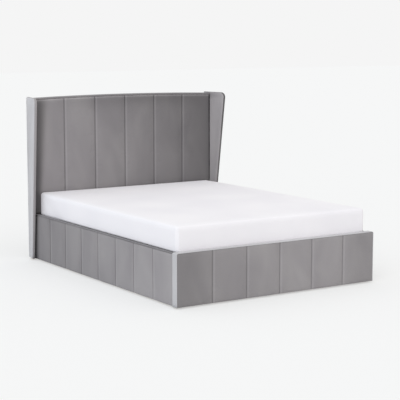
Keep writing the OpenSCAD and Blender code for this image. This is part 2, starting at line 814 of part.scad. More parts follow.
// Pivots in the platform brackets, and the screws that hold the brackets to the side tubes
module platform_pins() {
    x1 = hanger_x + plate_t;
    link_outer = link_x + plate_t;
    color(steel_bright) placed() for (side = [-1, 1]) mirror([side > 0 ? 0 : 1, 0, 0]) {
        x_rod(arm_end, pin_r, arm_x - pin_play, x1);
        x_rod(arm_end, pin_r + pin_flange, arm_x + plate_t + pin_play, hanger_x);
        x_rod(arm_end, pin_r + pin_flange, arm_x - pin_play - pin_head_t, arm_x - pin_play);
        x_rod(link_end, pin_r, hanger_x, link_outer + pin_play);
        x_rod(link_end, pin_r + pin_flange, x1, link_x - pin_play);
        x_rod(link_end, pin_r + pin_flange, link_outer + pin_play, link_outer + pin_play + washer_t);
        at_tube_screws() {
            translate([0, 0, -screw_head_t]) cylinder(r = bolt_head_r, h = screw_head_t);
            cylinder(r = bolt_r, h = plate_t + tube_wall + pin_head_t);
        }
    }
}

module side_tube(side) {
    x0 = side_tube_x - tube_w;
    color(steel_black) sided(side) difference() {
        translate([x0, tube_foot_y, platform_z]) cube([tube_w, tube_l, tube_h]);
        translate([x0 + tube_wall, tube_foot_y - 1, platform_z + tube_wall])
            cube([tube_w - 2 * tube_wall, tube_l + 2, tube_h - 2 * tube_wall]);
        at_tube_screws() bolt_hole(bolt_l);
    }
}

module cross_tube(y0) {
    half_w = side_tube_x - tube_w;
    color(steel_black) placed() difference() {
        translate([-half_w, y0, platform_z]) cube([2 * half_w, tube_w, tube_h]);
        translate([-half_w - 1, y0 + tube_wall, platform_z + tube_wall])
            cube([2 * half_w + 2, tube_w - 2 * tube_wall, tube_h - 2 * tube_wall]);
    }
}

module foot_tube() { cross_tube(tube_foot_y); }
module head_tube() { cross_tube(tube_head_y - tube_w); }

module middle_tube() {
    l = tube_l - 2 * tube_w;
    color(steel_black) placed() translate([-tube_w / 2, tube_foot_y + tube_w, platform_z]) difference() {
        cube([tube_w, l, tube_h]);
        translate([tube_wall, -1, tube_wall])
            cube([tube_w - 2 * tube_wall, l + 2, tube_h - 2 * tube_wall]);
    }
}

// Plastic plugs in the open ends of the side tubes
module tube_plugs() {
    plug_l = 12;
    flange_t = tube_wall;
    color(plastic_black) placed() for (side = [-1, 1]) for (end = [0, 1]) {
        x0 = side * (side_tube_x - tube_w / 2) - tube_w / 2;
        y0 = end == 0 ? tube_foot_y : tube_head_y - plug_l;
        cap_y = end == 0 ? tube_foot_y - flange_t : tube_head_y;
        translate([x0 + tube_wall, y0, platform_z + tube_wall])
            cube([tube_w - 2 * tube_wall, plug_l, tube_h - 2 * tube_wall]);
        translate([x0, cap_y, platform_z]) cube([tube_w, flange_t, tube_h]);
    }
}

slat_y0 = tube_foot_y + tube_w + slat_w / 2 + slat_end_gap;
slat_y1 = tube_head_y - tube_w - slat_w / 2 - slat_end_gap;
slat_pitch = (slat_y1 - slat_y0) / (slat_count - 1);
slat_ys = [for (k = [0:slat_count - 1]) slat_y0 + k * slat_pitch];
slat_end_play = 1;
slat_x0 = holder_wall + 1.5 * slat_end_play;
slat_x1 = side_tube_x - holder_wall - slat_end_play;
// Space under and over a slat in its holder, and the lip that stays over its edges
slot_drop = 0.2;
slot_rise = 1.4;
slot_lip = 6;

// Side profile of a bowed slat, lying on the frame's holders
module slat_profile() {
    n = 10;
    l = slat_x1 - slat_x0;
    xs = [for (k = [0:n]) k / n];
    function bow(s) = slat_bow * (1 - pow(2 * s - 1, 2));
    polygon(concat([for (s = xs) [slat_x0 + s * l, bow(s)]],
        [for (k = [n:-1:0]) [slat_x0 + xs[k] * l, bow(xs[k]) + slat_t]]));
}

module slats(side) {
    color(timber) sided(side) for (y = slat_ys)
        translate([0, y + slat_w / 2, slat_z]) rotate([90, 0, 0]) linear_extrude(slat_w) slat_profile();
}

// Room for a slat's end, with an opening above it that leaves a lip over both edges
module holder_slot(x0, l) {
    translate([x0, -slat_w / 2 - slat_clear, slat_z - slot_drop])
        cube([l, slat_w + 2 * slat_clear, slot_drop + slat_t + slot_rise]);
    translate([x0, -slat_w / 2 + slot_lip, slat_z - slot_drop])
        cube([l, slat_w - 2 * slot_lip, slat_t + holder_rim + 1]);
}

// A holder is a shallow cup round the end of a slat; it is open towards the other end
module holder_cup(x0, x1, open_x0, open_x1) {
    h = holder_base + slat_t + holder_rim;
    w = slat_w + 2 * slat_clear + 2 * holder_wall;
    difference() {
        translate([x0, -w / 2, platform_z + tube_h]) cube([x1 - x0, w, h]);
        holder_slot(min(open_x0, open_x1), abs(open_x1 - open_x0));
    }
}

module side_holders() {
    x1 = side_tube_x;
    color(plastic_black) placed() for (side = [-1, 1]) mirror([side > 0 ? 0 : 1, 0, 0])
        for (y = slat_ys) translate([0, y, 0])
            holder_cup(x1 - slat_seat - holder_wall, x1, x1 - slat_seat - 2 * holder_wall,
                slat_x1 + slat_end_play / 2);
}

module middle_holders() {
    reach = slat_x0 + slat_seat / 2;
    stop = slat_x0 - slat_end_play / 2;
    color(plastic_black) placed() for (y = slat_ys) translate([0, y, 0]) difference() {
        holder_cup(-reach, reach, stop, reach + 1);
        mirror([1, 0, 0]) holder_slot(stop, reach);
    }
}

// Timber that the platform lies on when it is closed
ledge_top = platform_z - seat;
ledge_x = side_tube_x - tube_w;
// Space from a ledge to the next ledge or bracket, to the lift, and to the strap
ledge_gap = 6;
ledge_end_gap = 60;
strap_side_gap = 8;
module rest_ledges() {
    y0 = foot_back_y + bracket_leg + ledge_gap;
    y1 = arm_pivot_y - ledge_end_gap;
    color(timber) placed() for (side = [-1, 1]) mirror([side > 0 ? 0 : 1, 0, 0])
        translate([ledge_x, y0, ledge_top - ledge_h])
            cube([rail_inner - ledge_x, y1 - y0, ledge_h]);
}

// Two ledges on the footboard, with a gap between them for the pull strap
module foot_ledges() {
    x0 = strap_w / 2 + strap_side_gap;
    color(timber) placed() for (side = [-1, 1]) mirror([side > 0 ? 0 : 1, 0, 0])
        translate([x0, foot_back_y, ledge_top - ledge_h])
            cube([ledge_x - ledge_gap - x0, platform_foot_gap + tube_w - tube_wall, ledge_h]);
}

floor_edge_gap = 2;
floor_y0 = foot_back_y + floor_edge_gap;
floor_y1 = head_board_y - floor_edge_gap;
bearer_pitch = (floor_y1 - floor_y0) / floor_panels;
bearer_ys = [for (k = [0:floor_panels])
    min(max(floor_y0 + k * bearer_pitch - bearer_w / 2, floor_y0), floor_y1 - bearer_w)];

module floor_panels() {
    half_w = rail_inner - floor_edge_gap;
    color(floor_white) placed() for (k = [0:floor_panels - 1]) {
        y0 = floor_y0 + k * bearer_pitch + (k == 0 ? 0 : floor_joint / 2);
        y1 = floor_y0 + (k + 1) * bearer_pitch - (k == floor_panels - 1 ? 0 : floor_joint / 2);
        translate([-half_w, y0, floor_z]) cube([2 * half_w, y1 - y0, floor_t]);
    }
}

module floor_bearers() {
    half_w = rail_inner;
    color(timber) placed() for (y = bearer_ys)
        translate([-half_w, y, ground_gap]) cube([2 * half_w, bearer_w, floor_z - ground_gap]);
}

module glide(x, y, h) {
    translate([x, y, 0]) cylinder(r = glide_r, h = h);
}

// Glides under the headboard and along each bearer
module glides() {
    end_x = rail_inner - glide_inset;
    color(plastic_black) placed() {
        for (x = [-0.3, 0, 0.3]) glide(x * foot_w, head_frame_y, ground_gap);
        for (y = bearer_ys) for (x = [-1, -1 / 3, 1 / 3, 1])
            glide(x * end_x, y + bearer_w / 2, ground_gap);
    }
}

// Webbing screwed over the foot tube; its free end hangs in front for lifting the platform
module pull_strap() {
    top = platform_z + tube_h;
    color(velvet) placed() translate([-strap_w / 2, 0, 0]) {
        translate([0, tube_foot_y - strap_t, top - strap_hang])
            cube([strap_w, strap_t, strap_hang + strap_t]);
        translate([0, tube_foot_y - strap_t, top]) cube([strap_w, tube_w, strap_t]);
    }
}

mattress();
headboard_pad();
headboard_border();
headboard_board();
headboard_posts();
headboard_crossbars();
headboard_back();
wing_board(-1);  // wing_board_left
wing_board(1);  // wing_board_right
wing_cover(-1);  // wing_cover_left
wing_cover(1);  // wing_cover_right
wing_bolts();
footboard_pad();
footboard_board();
footboard_wrap();
rail_board(-1);  // rail_board_left
rail_board(1);  // rail_board_right
rail_pad(-1);  // rail_pad_left
rail_pad(1);  // rail_pad_right
rail_cap(-1);  // rail_cap_left
rail_cap(1);  // rail_cap_right
corner_brackets();
bracket_bolts();
plate_screws();
rest_ledges();
foot_ledges();
floor_panels();
floor_bearers();
glides();
base_plate(-1);  // base_plate_left
base_plate(1);  // base_plate_right
base_pins(-1);  // base_pins_left
base_pins(1);  // base_pins_right
lift_arm(-1);  // lift_arm_left
lift_arm(1);  // lift_arm_right
stay_link(-1);  // stay_link_left
stay_link(1);  // stay_link_right
strut_cylinder(-1);  // strut_cylinder_left
strut_cylinder(1);  // strut_cylinder_right
strut_rod(-1);  // strut_rod_left
strut_rod(1);  // strut_rod_right
platform_bracket(-1);  // platform_bracket_left
platform_bracket(1);  // platform_bracket_right
platform_pins();
side_tube(-1);  // side_tube_left
side_tube(1);  // side_tube_right
foot_tube();
head_tube();
middle_tube();
tube_plugs();
slats(-1);  // slats_left
slats(1);  // slats_right
side_holders();
middle_holders();
pull_strap();
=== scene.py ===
import math
import bpy
import bmesh
from mathutils import Matrix, Vector, noise


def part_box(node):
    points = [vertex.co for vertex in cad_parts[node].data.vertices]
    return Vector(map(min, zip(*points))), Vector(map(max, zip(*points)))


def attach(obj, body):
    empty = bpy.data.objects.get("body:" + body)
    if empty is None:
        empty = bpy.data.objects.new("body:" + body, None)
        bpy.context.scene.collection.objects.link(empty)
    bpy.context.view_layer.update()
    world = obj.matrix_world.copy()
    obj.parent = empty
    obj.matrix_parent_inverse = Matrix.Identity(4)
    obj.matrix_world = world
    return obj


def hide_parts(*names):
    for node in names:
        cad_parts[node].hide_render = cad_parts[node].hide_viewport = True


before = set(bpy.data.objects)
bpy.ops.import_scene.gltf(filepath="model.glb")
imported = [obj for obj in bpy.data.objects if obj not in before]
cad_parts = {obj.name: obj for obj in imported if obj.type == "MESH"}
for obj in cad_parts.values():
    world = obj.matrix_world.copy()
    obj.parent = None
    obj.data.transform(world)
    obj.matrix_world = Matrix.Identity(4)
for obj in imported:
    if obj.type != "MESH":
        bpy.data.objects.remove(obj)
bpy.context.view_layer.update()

scene = bpy.context.scene
scene.view_settings.view_transform = "Standard"


# Camera and light: the photo was taken with a long lens from the front left

cameraSetup = {"place": (-4.8094, -7.5525, 1.7300), "tilt": 82.264, "turn": -32.821, "lens": 112.08,
               "sensor": 36, "clipEnd": 100}
lightSetup = {
    "skyStrength": 0.90,
    "skyTones": ("#eef7ff", "#fffaf2"),   # cool on the left, warm on the right
    "sunFrom": (-0.62, -0.54, 0.57),   # soft window light from the front left
    "sunStrength": 0.8,
    "sunAngle": 40.0,
    "backdrop": "#f5f5f5",
    "floorOwnLight": 0.475,            # share of the floor's tone that no shadow reaches
    "floorColor": "#b4b4b4",
    "floorBounce": "#e6e6e6",          # the pale floor as the bed receives its light
    "floorHalf": 40,
}


def toLinear(hexColor):
    parts = [int(hexColor[k:k + 2], 16) / 255 for k in (1, 3, 5)]
    return tuple(c / 12.92 if c <= 0.04045 else ((c + 0.055) / 1.055) ** 2.4 for c in parts) + (1.0,)


def addNode(tree, kind, settings=None, links=None):
    node = tree.nodes.new(kind)
    for key, value in (settings or {}).items():
        if isinstance(key, str) and hasattr(node, key):
            setattr(node, key, value)
        else:
            node.inputs[key].default_value = value
    for key, source in (links or {}).items():
        tree.links.new(source, node.inputs[key])
    return node


# Blends two colours over a value, from one height of it to another
def blendTones(tree, source, tones, ends=(0.0, 1.0)):
    ramp = addNode(tree, "ShaderNodeValToRGB", {}, {"Fac": source})
    for element, position, tone in zip(ramp.color_ramp.elements, ends, tones):
        element.position = position
        element.color = toLinear(tone)
    return ramp.outputs[0]


def placeCamera(setup):
    data = bpy.data.cameras.new("camera")
    data.lens = setup["lens"]
    data.sensor_width = setup["sensor"]
    data.clip_end = setup["clipEnd"]
    camera = bpy.data.objects.new("camera", data)
    camera.location = setup["place"]
    camera.rotation_euler = (math.radians(setup["tilt"]), 0, math.radians(setup["turn"]))
    scene.collection.objects.link(camera)
    scene.camera = camera


def lightScene(setup):
    world = bpy.data.worlds.new("studio")
    scene.world = world
    world.use_nodes = True
    tree = world.node_tree
    tree.nodes.clear()
    path = addNode(tree, "ShaderNodeLightPath")
    seen = addNode(tree, "ShaderNodeMath", {"operation": "MAXIMUM"},
                   {0: path.outputs["Is Camera Ray"], 1: path.outputs["Is Glossy Ray"]})
    way = addNode(tree, "ShaderNodeTexCoord")
    parts = addNode(tree, "ShaderNodeSeparateXYZ", {}, {0: way.outputs["Generated"]})
    across = addNode(tree, "ShaderNodeMapRange", {"From Min": -1.0, "From Max": 1.0},
                     {"Value": parts.outputs["X"]})
    tint = blendTones(tree, across.outputs[0], setup["skyTones"])
    sky = addNode(tree, "ShaderNodeBackground", {"Strength": setup["skyStrength"]}, {"Color": tint})
    back = addNode(tree, "ShaderNodeBackground",
                   {"Color": toLinear(setup["backdrop"]), "Strength": 1.0})
    mix = addNode(tree, "ShaderNodeMixShader", {},
                  {0: seen.outputs[0], 1: sky.outputs[0], 2: back.outputs[0]})
    addNode(tree, "ShaderNodeOutputWorld", {}, {"Surface": mix.outputs[0]})
    lamp = bpy.data.lights.new("window", "SUN")
    lamp.energy = setup["sunStrength"]
    lamp.angle = math.radians(setup["sunAngle"])
    sun = bpy.data.objects.new("window", lamp)
    sun.rotation_euler = Vector(setup["sunFrom"]).to_track_quat("Z", "Y").to_euler()
    scene.collection.objects.link(sun)


def layFloor(setup):
    material = bpy.data.materials.new("paleFloor")
    material.use_nodes = True
    tree = material.node_tree
    tree.nodes.clear()
    path = addNode(tree, "ShaderNodeLightPath")
    matte = addNode(tree, "ShaderNodeBsdfDiffuse", {"Color": toLinear(setup["floorColor"])})
    bounce = addNode(tree, "ShaderNodeBsdfDiffuse", {"Color": toLinear(setup["floorBounce"])})
    glow = addNode(tree, "ShaderNodeEmission",
                   {"Color": (1, 1, 1, 1), "Strength": setup["floorOwnLight"]})
    both = addNode(tree, "ShaderNodeAddShader", {}, {0: matte.outputs[0], 1: glow.outputs[0]})
    mix = addNode(tree, "ShaderNodeMixShader", {},
                  {0: path.outputs["Is Camera Ray"], 1: bounce.outputs[0], 2: both.outputs[0]})
    addNode(tree, "ShaderNodeOutputMaterial", {}, {"Surface": mix.outputs[0]})
    mesh = bpy.data.meshes.new("floor")
    far = setup["floorHalf"]
    mesh.from_pydata([(-far, -far, 0), (far, -far, 0), (far, far, 0), (-far, far, 0)], [],
                     [(0, 1, 2, 3)])
    mesh.materials.append(material)
    floor = bpy.data.objects.new("floor", mesh)
    scene.collection.objects.link(floor)


placeCamera(cameraSetup)
lightScene(lightSetup)
layFloor(lightSetup)
print("camera, light and floor are in place")


# Materials

def newMaterial(name):
    material = bpy.data.materials.new(name)
    material.use_nodes = True
    tree = material.node_tree
    tree.nodes.clear()
    shader = addNode(tree, "ShaderNodeBsdfPrincipled")
    addNode(tree, "ShaderNodeOutputMaterial", {}, {"Surface": shader.outputs[0]})
    place = addNode(tree, "ShaderNodeTexCoord")
    return material, tree, shader, place.outputs["Object"]


# Crests and troughs of a wave texture in one metre at Scale 1, nearly
crestsPerMetre = 6.2832


# Noise with grains about so many millimetres wide
def addNoise(tree, grainMm, detail, place, settings=None):
    values = {"Scale": 1000 / grainMm, "Detail": detail, **(settings or {})}
    return addNode(tree, "ShaderNodeTexNoise", values, {"Vector": place}).outputs["Fac"]


# Bands with crests and troughs about so many millimetres wide
def addWave(tree, crestMm, place, settings):
    values = {"Scale": 1000 / crestMm / crestsPerMetre, **settings}
    return addNode(tree, "ShaderNodeTexWave", values, {"Vector": place}).outputs["Fac"]


# A share of one pattern on top of another
def addShare(tree, first, share, second):
    return addNode(tree, "ShaderNodeMath", {"operation": "MULTIPLY_ADD", 1: share},
                   {0: first, 2: second}).outputs[0]


# Gives the shader its colour, its relief and its plain values
def dress(tree, shader, color, height, relief, values):
    bump = addNode(tree, "ShaderNodeBump", {"Strength": relief[0], "Distance": relief[1]},
                   {"Height": height})
    tree.links.new(color, shader.inputs["Base Color"])
    tree.links.new(bump.outputs[0], shader.inputs["Normal"])
    for key, value in values.items():
        shader.inputs[key].default_value = value


# Short cotton velvet: a matt pile that lightens where it is seen edge on, with soft patches
# where the pile was stroked another way. An attribute of the meshes makes its colour lighter or
# darker: painted shade and painted highlights on the pads, border, wings and caps, and a lighter
# tone on parts of the wings and on the footboard wrap
def makeVelvet(name, setup):
    material, tree, shader, place = newMaterial(name)
    stretch = addNode(tree, "ShaderNodeMapping", {"Scale": (1.0, 1.0, setup["patchStretch"])},
                      {"Vector": place})
    patches = addNoise(tree, setup["patchMm"], 2.0, stretch.outputs[0],
                       {"Roughness": 0.5, "Distortion": 0.6})
    tone = blendTones(tree, patches, setup["tones"], (0.32, 0.68))
    pileAndPaintedLight = addNoise(tree, setup["pileMm"], 3.0, place)
    grain = addNode(tree, "ShaderNodeMapRange", {"To Min": 0.93, "To Max": 1.07}, {"Value": pileAndPaintedLight})
    # painted light and shade: the meshes' attribute lightens or darkens the colour
    nap = addNode(tree, "ShaderNodeAttribute", {"attribute_name": "nap"})
    lean = addNode(tree, "ShaderNodeMath", {"operation": "MULTIPLY_ADD"},
                   {0: nap.outputs["Fac"], 1: grain.outputs[0], 2: grain.outputs[0]})
    color = addNode(tree, "ShaderNodeMix", {"data_type": "RGBA", "blend_type": "MULTIPLY", 0: 1.0},
                    {6: tone, 7: lean.outputs[0]})
    dress(tree, shader, color.outputs[2], pileAndPaintedLight, (0.35, setup["pileHeightMm"] / 1000), {
        "Roughness": 0.95, "Specular IOR Level": 0.15, "Sheen Weight": setup["sheen"],
        "Sheen Roughness": 0.45, "Sheen Tint": toLinear(setup["sheenColor"])})
    return material


# Knitted mattress ticking: fine vertical wales and a faint heathered surface
def makeTicking(name, setup):
    material, tree, shader, place = newMaterial(name)
    wales = addWave(tree, setup["waleMm"], place, {"Distortion": 1.5, "Detail": 2.0,
                                                   "Detail Scale": 4.0, "bands_direction": "X"})
    loops = addNoise(tree, setup["loopMm"], 2.0, place)
    clouds = addNoise(tree, setup["cloudMm"], 1.0, place)
    dress(tree, shader, blendTones(tree, clouds, setup["tones"], (0.3, 0.7)),
          addShare(tree, wales, 0.35, loops), (0.25, 0.0006),
          {"Roughness": 0.9, "Specular IOR Level": 0.2, "Sheen Weight": 0.05})
    return material


# Woven or bonded cloth: threads that cross each other
def makeWeave(name, setup):
    material, tree, shader, place = newMaterial(name)
    warp, weft = (addWave(tree, setup["threadMm"], place, {"Distortion": 0.6, "bands_direction": way})
                  for way in "XZ")
    cross = addNode(tree, "ShaderNodeMath", {"operation": "MULTIPLY"}, {0: warp, 1: weft}).outputs[0]
    dress(tree, shader, blendTones(tree, cross, setup["tones"]), cross, (0.5, 0.0006),
          {"Roughness": 0.85, "Specular IOR Level": 0.2})
    return material


# Sawn or planed timber: long growth rings along the piece and darker pores
def makeTimber(name, setup):
    material, tree, shader, place = newMaterial(name)
    along = addNode(tree, "ShaderNodeMapping", {"Scale": setup["stretch"]}, {"Vector": place}).outputs[0]
    rings = addWave(tree, setup["grainMm"], along, {"Distortion": 5.0, "Detail": 3.0,
                                                    "Detail Scale": 1.2, "bands_direction": "DIAGONAL"})
    pores = addNoise(tree, setup["poreMm"], 4.0, along)
    tone = blendTones(tree, addShare(tree, rings, 0.45, pores), setup["tones"], (0.35, 0.95))
    dress(tree, shader, tone, pores, (0.2, 0.0004), {
        "Roughness": setup["roughness"], "Coat Weight": setup["lacquer"], "Coat Roughness": 0.35})
    return material


# Particle board or hardboard: pressed chips with finer dust between, no grain direction
def makeChipboard(name, setup):
    material, tree, shader, place = newMaterial(name)
    chips = addNode(tree, "ShaderNodeTexVoronoi", {"Scale": 1000 / setup["chipMm"]}, {"Vector": place})
    dust = addNoise(tree, setup["chipMm"] / 3, 3.0, place)
    amount = addShare(tree, chips.outputs["Distance"], 0.5, dust)
    dress(tree, shader, blendTones(tree, amount, setup["tones"], (0.35, 0.85)), dust,
          (0.15, 0.0003), {"Roughness": 0.8})
    return material


# Powder-coated, zinc-plated or chromed steel and moulded plastic: one shader, other numbers
def makeCoated(name, setup):
    material, tree, shader, place = newMaterial(name)
    texture = addNoise(tree, setup["textureMm"], 3.0, place)
    wear = addNoise(tree, setup["wearMm"], 4.0, place)
    gloss = addNode(tree, "ShaderNodeMapRange",
                    {"To Min": setup["roughness"] - 0.06, "To Max": setup["roughness"] + 0.08},
                    {"Value": wear})
    tree.links.new(gloss.outputs[0], shader.inputs["Roughness"])
    dress(tree, shader, blendTones(tree, wear, setup["tones"], (0.35, 0.7)), texture,
          (setup["bump"], 0.0003), {"Metallic": setup["metallic"]})
    return material


velvet = makeVelvet("cottonVelvet", {
    "tones": ("#888486", "#949091"), "sheen": 0.35, "sheenColor": "#d8d6da",
    "patchMm": 260, "patchStretch": 0.45, "pileMm": 2.2, "pileHeightMm": 0.6})
# A lighter copy of the same velvet, for the outer faces of the wings and the footboard wrap
velvetLighter = makeVelvet("lighterVelvet", {
    "tones": ("#b3b1b3", "#bebcbe"), "sheen": 0.4, "sheenColor": "#e8e8ec",
    "patchMm": 300, "patchStretch": 0.4, "pileMm": 2.2, "pileHeightMm": 0.6})
ticking = makeTicking("knittedTicking", {
    "tones": ("#f2eff3", "#f7f4f7"), "waleMm": 3.0, "loopMm": 1.8, "cloudMm": 420})
bondedCloth = makeWeave("bondedCloth", {"tones": ("#17171a", "#2b2b2f"), "threadMm": 2.4})
webbing = makeWeave("polyesterWebbing", {"tones": ("#55555a", "#7c7c82"), "threadMm": 1.6})
planed = {"tones": ("#b98f5c", "#e0c08f"), "grainMm": 9, "poreMm": 5, "roughness": 0.65, "lacquer": 0.0}
pine = makeTimber("planedPine", {**planed, "stretch": (1.0, 0.06, 1.0)})
pineAcross = makeTimber("planedPineAcross", {**planed, "stretch": (0.06, 1.0, 1.0)})
pineUpright = makeTimber("planedPineUpright", {**planed, "stretch": (1.0, 1.0, 0.06)})
beech = makeTimber("lacqueredBeech", {
    "tones": ("#c79a66", "#e6c795"), "grainMm": 7, "poreMm": 2.5, "stretch": (0.05, 1.0, 1.0),
    "roughness": 0.4, "lacquer": 0.3})
chipboard = makeChipboard("chipboard", {"tones": ("#9b7a4e", "#d2b184"), "chipMm": 5})
hardboard = makeChipboard("paleHardboard", {"tones": ("#b9b4aa", "#dcd8cf"), "chipMm": 3})
blackSteel = makeCoated("powderCoatedSteel", {
    "tones": ("#1d1e20", "#2c2d30"), "textureMm": 1.2, "wearMm": 60, "roughness": 0.45, "bump": 0.25,
    "metallic": 0.0})
zincSteel = makeCoated("zincPlatedSteel", {
    "tones": ("#a3a6aa", "#c6c9cc"), "textureMm": 2, "wearMm": 12, "roughness": 0.32, "bump": 0.05,
    "metallic": 1.0})
chromeRod = makeCoated("chromedRod", {
    "tones": ("#d4d6d9", "#e4e6e8"), "textureMm": 3, "wearMm": 40, "roughness": 0.1, "bump": 0.0,
    "metallic": 1.0})
blackPlastic = makeCoated("mouldedPolypropylene", {
    "tones": ("#18181a", "#232326"), "textureMm": 0.9, "wearMm": 30, "roughness": 0.5, "bump": 0.2,
    "metallic": 0.0})
print("materials are made")


# Mesh helpers

def makeObject(name, points, faces, materials):
    mesh = bpy.data.meshes.new(name)
    mesh.from_pydata([tuple(p) for p in points], [], faces)
    for material in materials:
        mesh.materials.append(material)
    mesh.polygons.foreach_set("use_smooth", [True] * len(mesh.polygons))
    mesh.update()
    piece = bpy.data.objects.new(name, mesh)
    scene.collection.objects.link(piece)
    return piece


def bakeModifiers(piece):
    bpy.context.view_layer.update()
    graph = bpy.context.evaluated_depsgraph_get()
    mesh = bpy.data.meshes.new_from_object(piece.evaluated_get(graph))
    piece.modifiers.clear()
    piece.data = mesh


def refine(piece):
    finer = piece.modifiers.new("finer", "SUBSURF")
    finer.levels = finer.render_levels = 1
    bakeModifiers(piece)


# Steps in each frame, mass of each point and shear as a share of the tension
sheetRules = {"quality": 6, "mass": 0.35, "shear": 0.5}


# Runs Blender's cloth on a sheet that is sewn down at some of its points, and keeps each point
# within a short way of where it started
def simulate(piece, held, setup):
    start = [v.co.copy() for v in piece.data.vertices]
    group = piece.vertex_groups.new(name="sewn")
    for weight in sorted(set(held.values())):
        group.add([k for k, w in held.items() if w == weight], weight, "REPLACE")
    cloth = piece.modifiers.new("cloth", "CLOTH")
    rules = cloth.settings
    rules.quality = sheetRules["quality"]
    rules.mass = sheetRules["mass"]
    rules.tension_stiffness = setup["tension"]
    rules.compression_stiffness = setup["tension"]
    rules.shear_stiffness = setup["tension"] * sheetRules["shear"]
    rules.bending_stiffness = setup["bending"]
    rules.vertex_group_mass = "sewn"
    rules.use_pressure = True
    rules.uniform_pressure_force = setup["pressure"]
    rules.shrink_min = -setup["slack"]
    rules.effector_weights.gravity = 0
    cloth.point_cache.frame_start = 1
    cloth.point_cache.frame_end = setup["frames"]
    for number in range(1, setup["frames"] + 1):
        scene.frame_set(number)
    bakeModifiers(piece)
    scene.frame_set(1)
    most = setup["most"]
    for vertex, first in zip(piece.data.vertices, start):
        move = vertex.co - first
        length = move.length
        if length > 1e-9:
            vertex.co = first + move * (most * math.tanh(length / most) / length)
    piece.vertex_groups.clear()


# Places along a length: close together near both ends, then even steps
def spread(length, near, step):
    middle = length - 2 * near[-1]
    count = max(1, round(middle / step))
    inner = [near[-1] + middle * k / count for k in range(1, count)]
    return list(near) + inner + [length - d for d in reversed(near)]


def gridFaces(columns, rows):
    faces = []
    for j in range(rows - 1):
        for i in range(columns - 1):
            a = j * columns + i
            faces.append((a, a + 1, a + columns + 1, a + columns))
    return faces


# Joins closed rings of points into a skin and closes both ends
def ringFaces(ringCount, size):
    faces = []
    for j in range(ringCount - 1):
        for i in range(size):
            k = (i + 1) % size
            faces.append((j * size + i, j * size + k, (j + 1) * size + k, (j + 1) * size + i))
    faces.append(tuple(reversed(range(size))))
    faces.append(tuple((ringCount - 1) * size + i for i in range(size)))
    return faces


# Evenly spaced points on the line from a to b, where number 0 is a and number steps is b
def between(a, b, steps, numbers):
    return [tuple(p * (1 - k / steps) + q * (k / steps) for p, q in zip(a, b)) for k in numbers]


# Changes a piece's mesh and turns its faces outwards
def rework(piece, change=None):
    work = bmesh.new()
    work.from_mesh(piece.data)
    if change:
        change(work)
    bmesh.ops.recalc_face_normals(work, faces=work.faces)
    work.to_mesh(piece.data)
    work.free()
    piece.data.update()


def mergePoints(work):
    bmesh.ops.remove_doubles(work, verts=work.verts, dist=1e-6)


def moveMesh(piece, matrix):
    piece.data.transform(matrix)
    if matrix.determinant() < 0:
        piece.data.flip_normals()
    piece.data.update()


# Paints light and shade into the velvet's colour: rule gives how much lighter (above 0) or darker (below
# 0) it is made at a point
def layPileAndPaintedLight(piece, rule):
    layer = piece.data.attributes.new("nap", "FLOAT", "POINT")
    layer.data.foreach_set("value", [rule(v.co, v.normal) for v in piece.data.vertices])


# Painted light and shade on a channel pad, u metres from its left end: painted shade in the seams, a
# painted highlight beside them, and a tone that changes evenly from one end of the pad to the other.
# Near the sides and the top it is darker or lighter by a depth that fades over a width: the painted
# shadow of the wings, painted shade in the creases and under the border, and a painted highlight below it
def channelPaintedLight(setup, along):
    pileAndPaintedLight = setup["pileAndPaintedLight"]
    pitch = setup["width"] / setup["channels"]

    def rule(place, normal):
        u = along(place)
        seam = min(max(round(u / pitch), 0), setup["channels"])
        off = u - seam * pitch
        share = u / setup["width"]
        tone = pileAndPaintedLight["ends"][0] * (1 - share) + pileAndPaintedLight["ends"][1] * share
        if 0 < seam < setup["channels"]:
            tone += pileAndPaintedLight["seam"] * math.exp(-(off / pileAndPaintedLight["seamWide"]) ** 2)
            beside = (off - pileAndPaintedLight["rimOff"]) / pileAndPaintedLight["seamWide"] / setup["rimWide"]
            tone += pileAndPaintedLight["rim"] * math.exp(-beside ** 2)
        for way, (depth, wide) in zip((u, setup["width"] - u), pileAndPaintedLight["sides"]):
            tone += depth * math.exp(-(way / (wide + pileAndPaintedLight["widen"] * wide * place.z)) ** pileAndPaintedLight["fall"])
        down = setup["top"](u - setup["width"] / 2) - place.z
        for (depth, wide), middle in zip(pileAndPaintedLight["tops"], (4 * share * (1 - share), 1)):
            tone += middle * depth * math.exp(-(down / wide) ** 2)
        return tone

    return rule


# Sewn channel pads: headboard, footboard and side rails

bed = {
    "halfLength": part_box("headboard_back")[1][1], "face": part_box("headboard_pad")[0][1],
    "splay": math.radians(11), "headHalf": 0.8, "headHeight": 1.227, "arch": 0.013,
    "border": 0.012, "borderGap": 0.0005,
}


def archHeight(x):
    return bed["headHeight"] + bed["arch"] * (1 - (x / bed["headHalf"]) ** 2)


# Height of a quarter round at a way from its foot
def quarterRound(way, size):
    return math.sqrt(max(0.0, 1 - (1 - min(way / size, 1.0)) ** 2))


# How far a channel stands up at a way from its seam: a tight roll first, then a long arch
def swell(distance, half, setup):
    slow = 1 - (1 - min(distance / half, 1.0)) ** 2
    return setup["quickShare"] * quarterRound(distance, setup["roll"]) + (1 - setup["quickShare"]) * slow


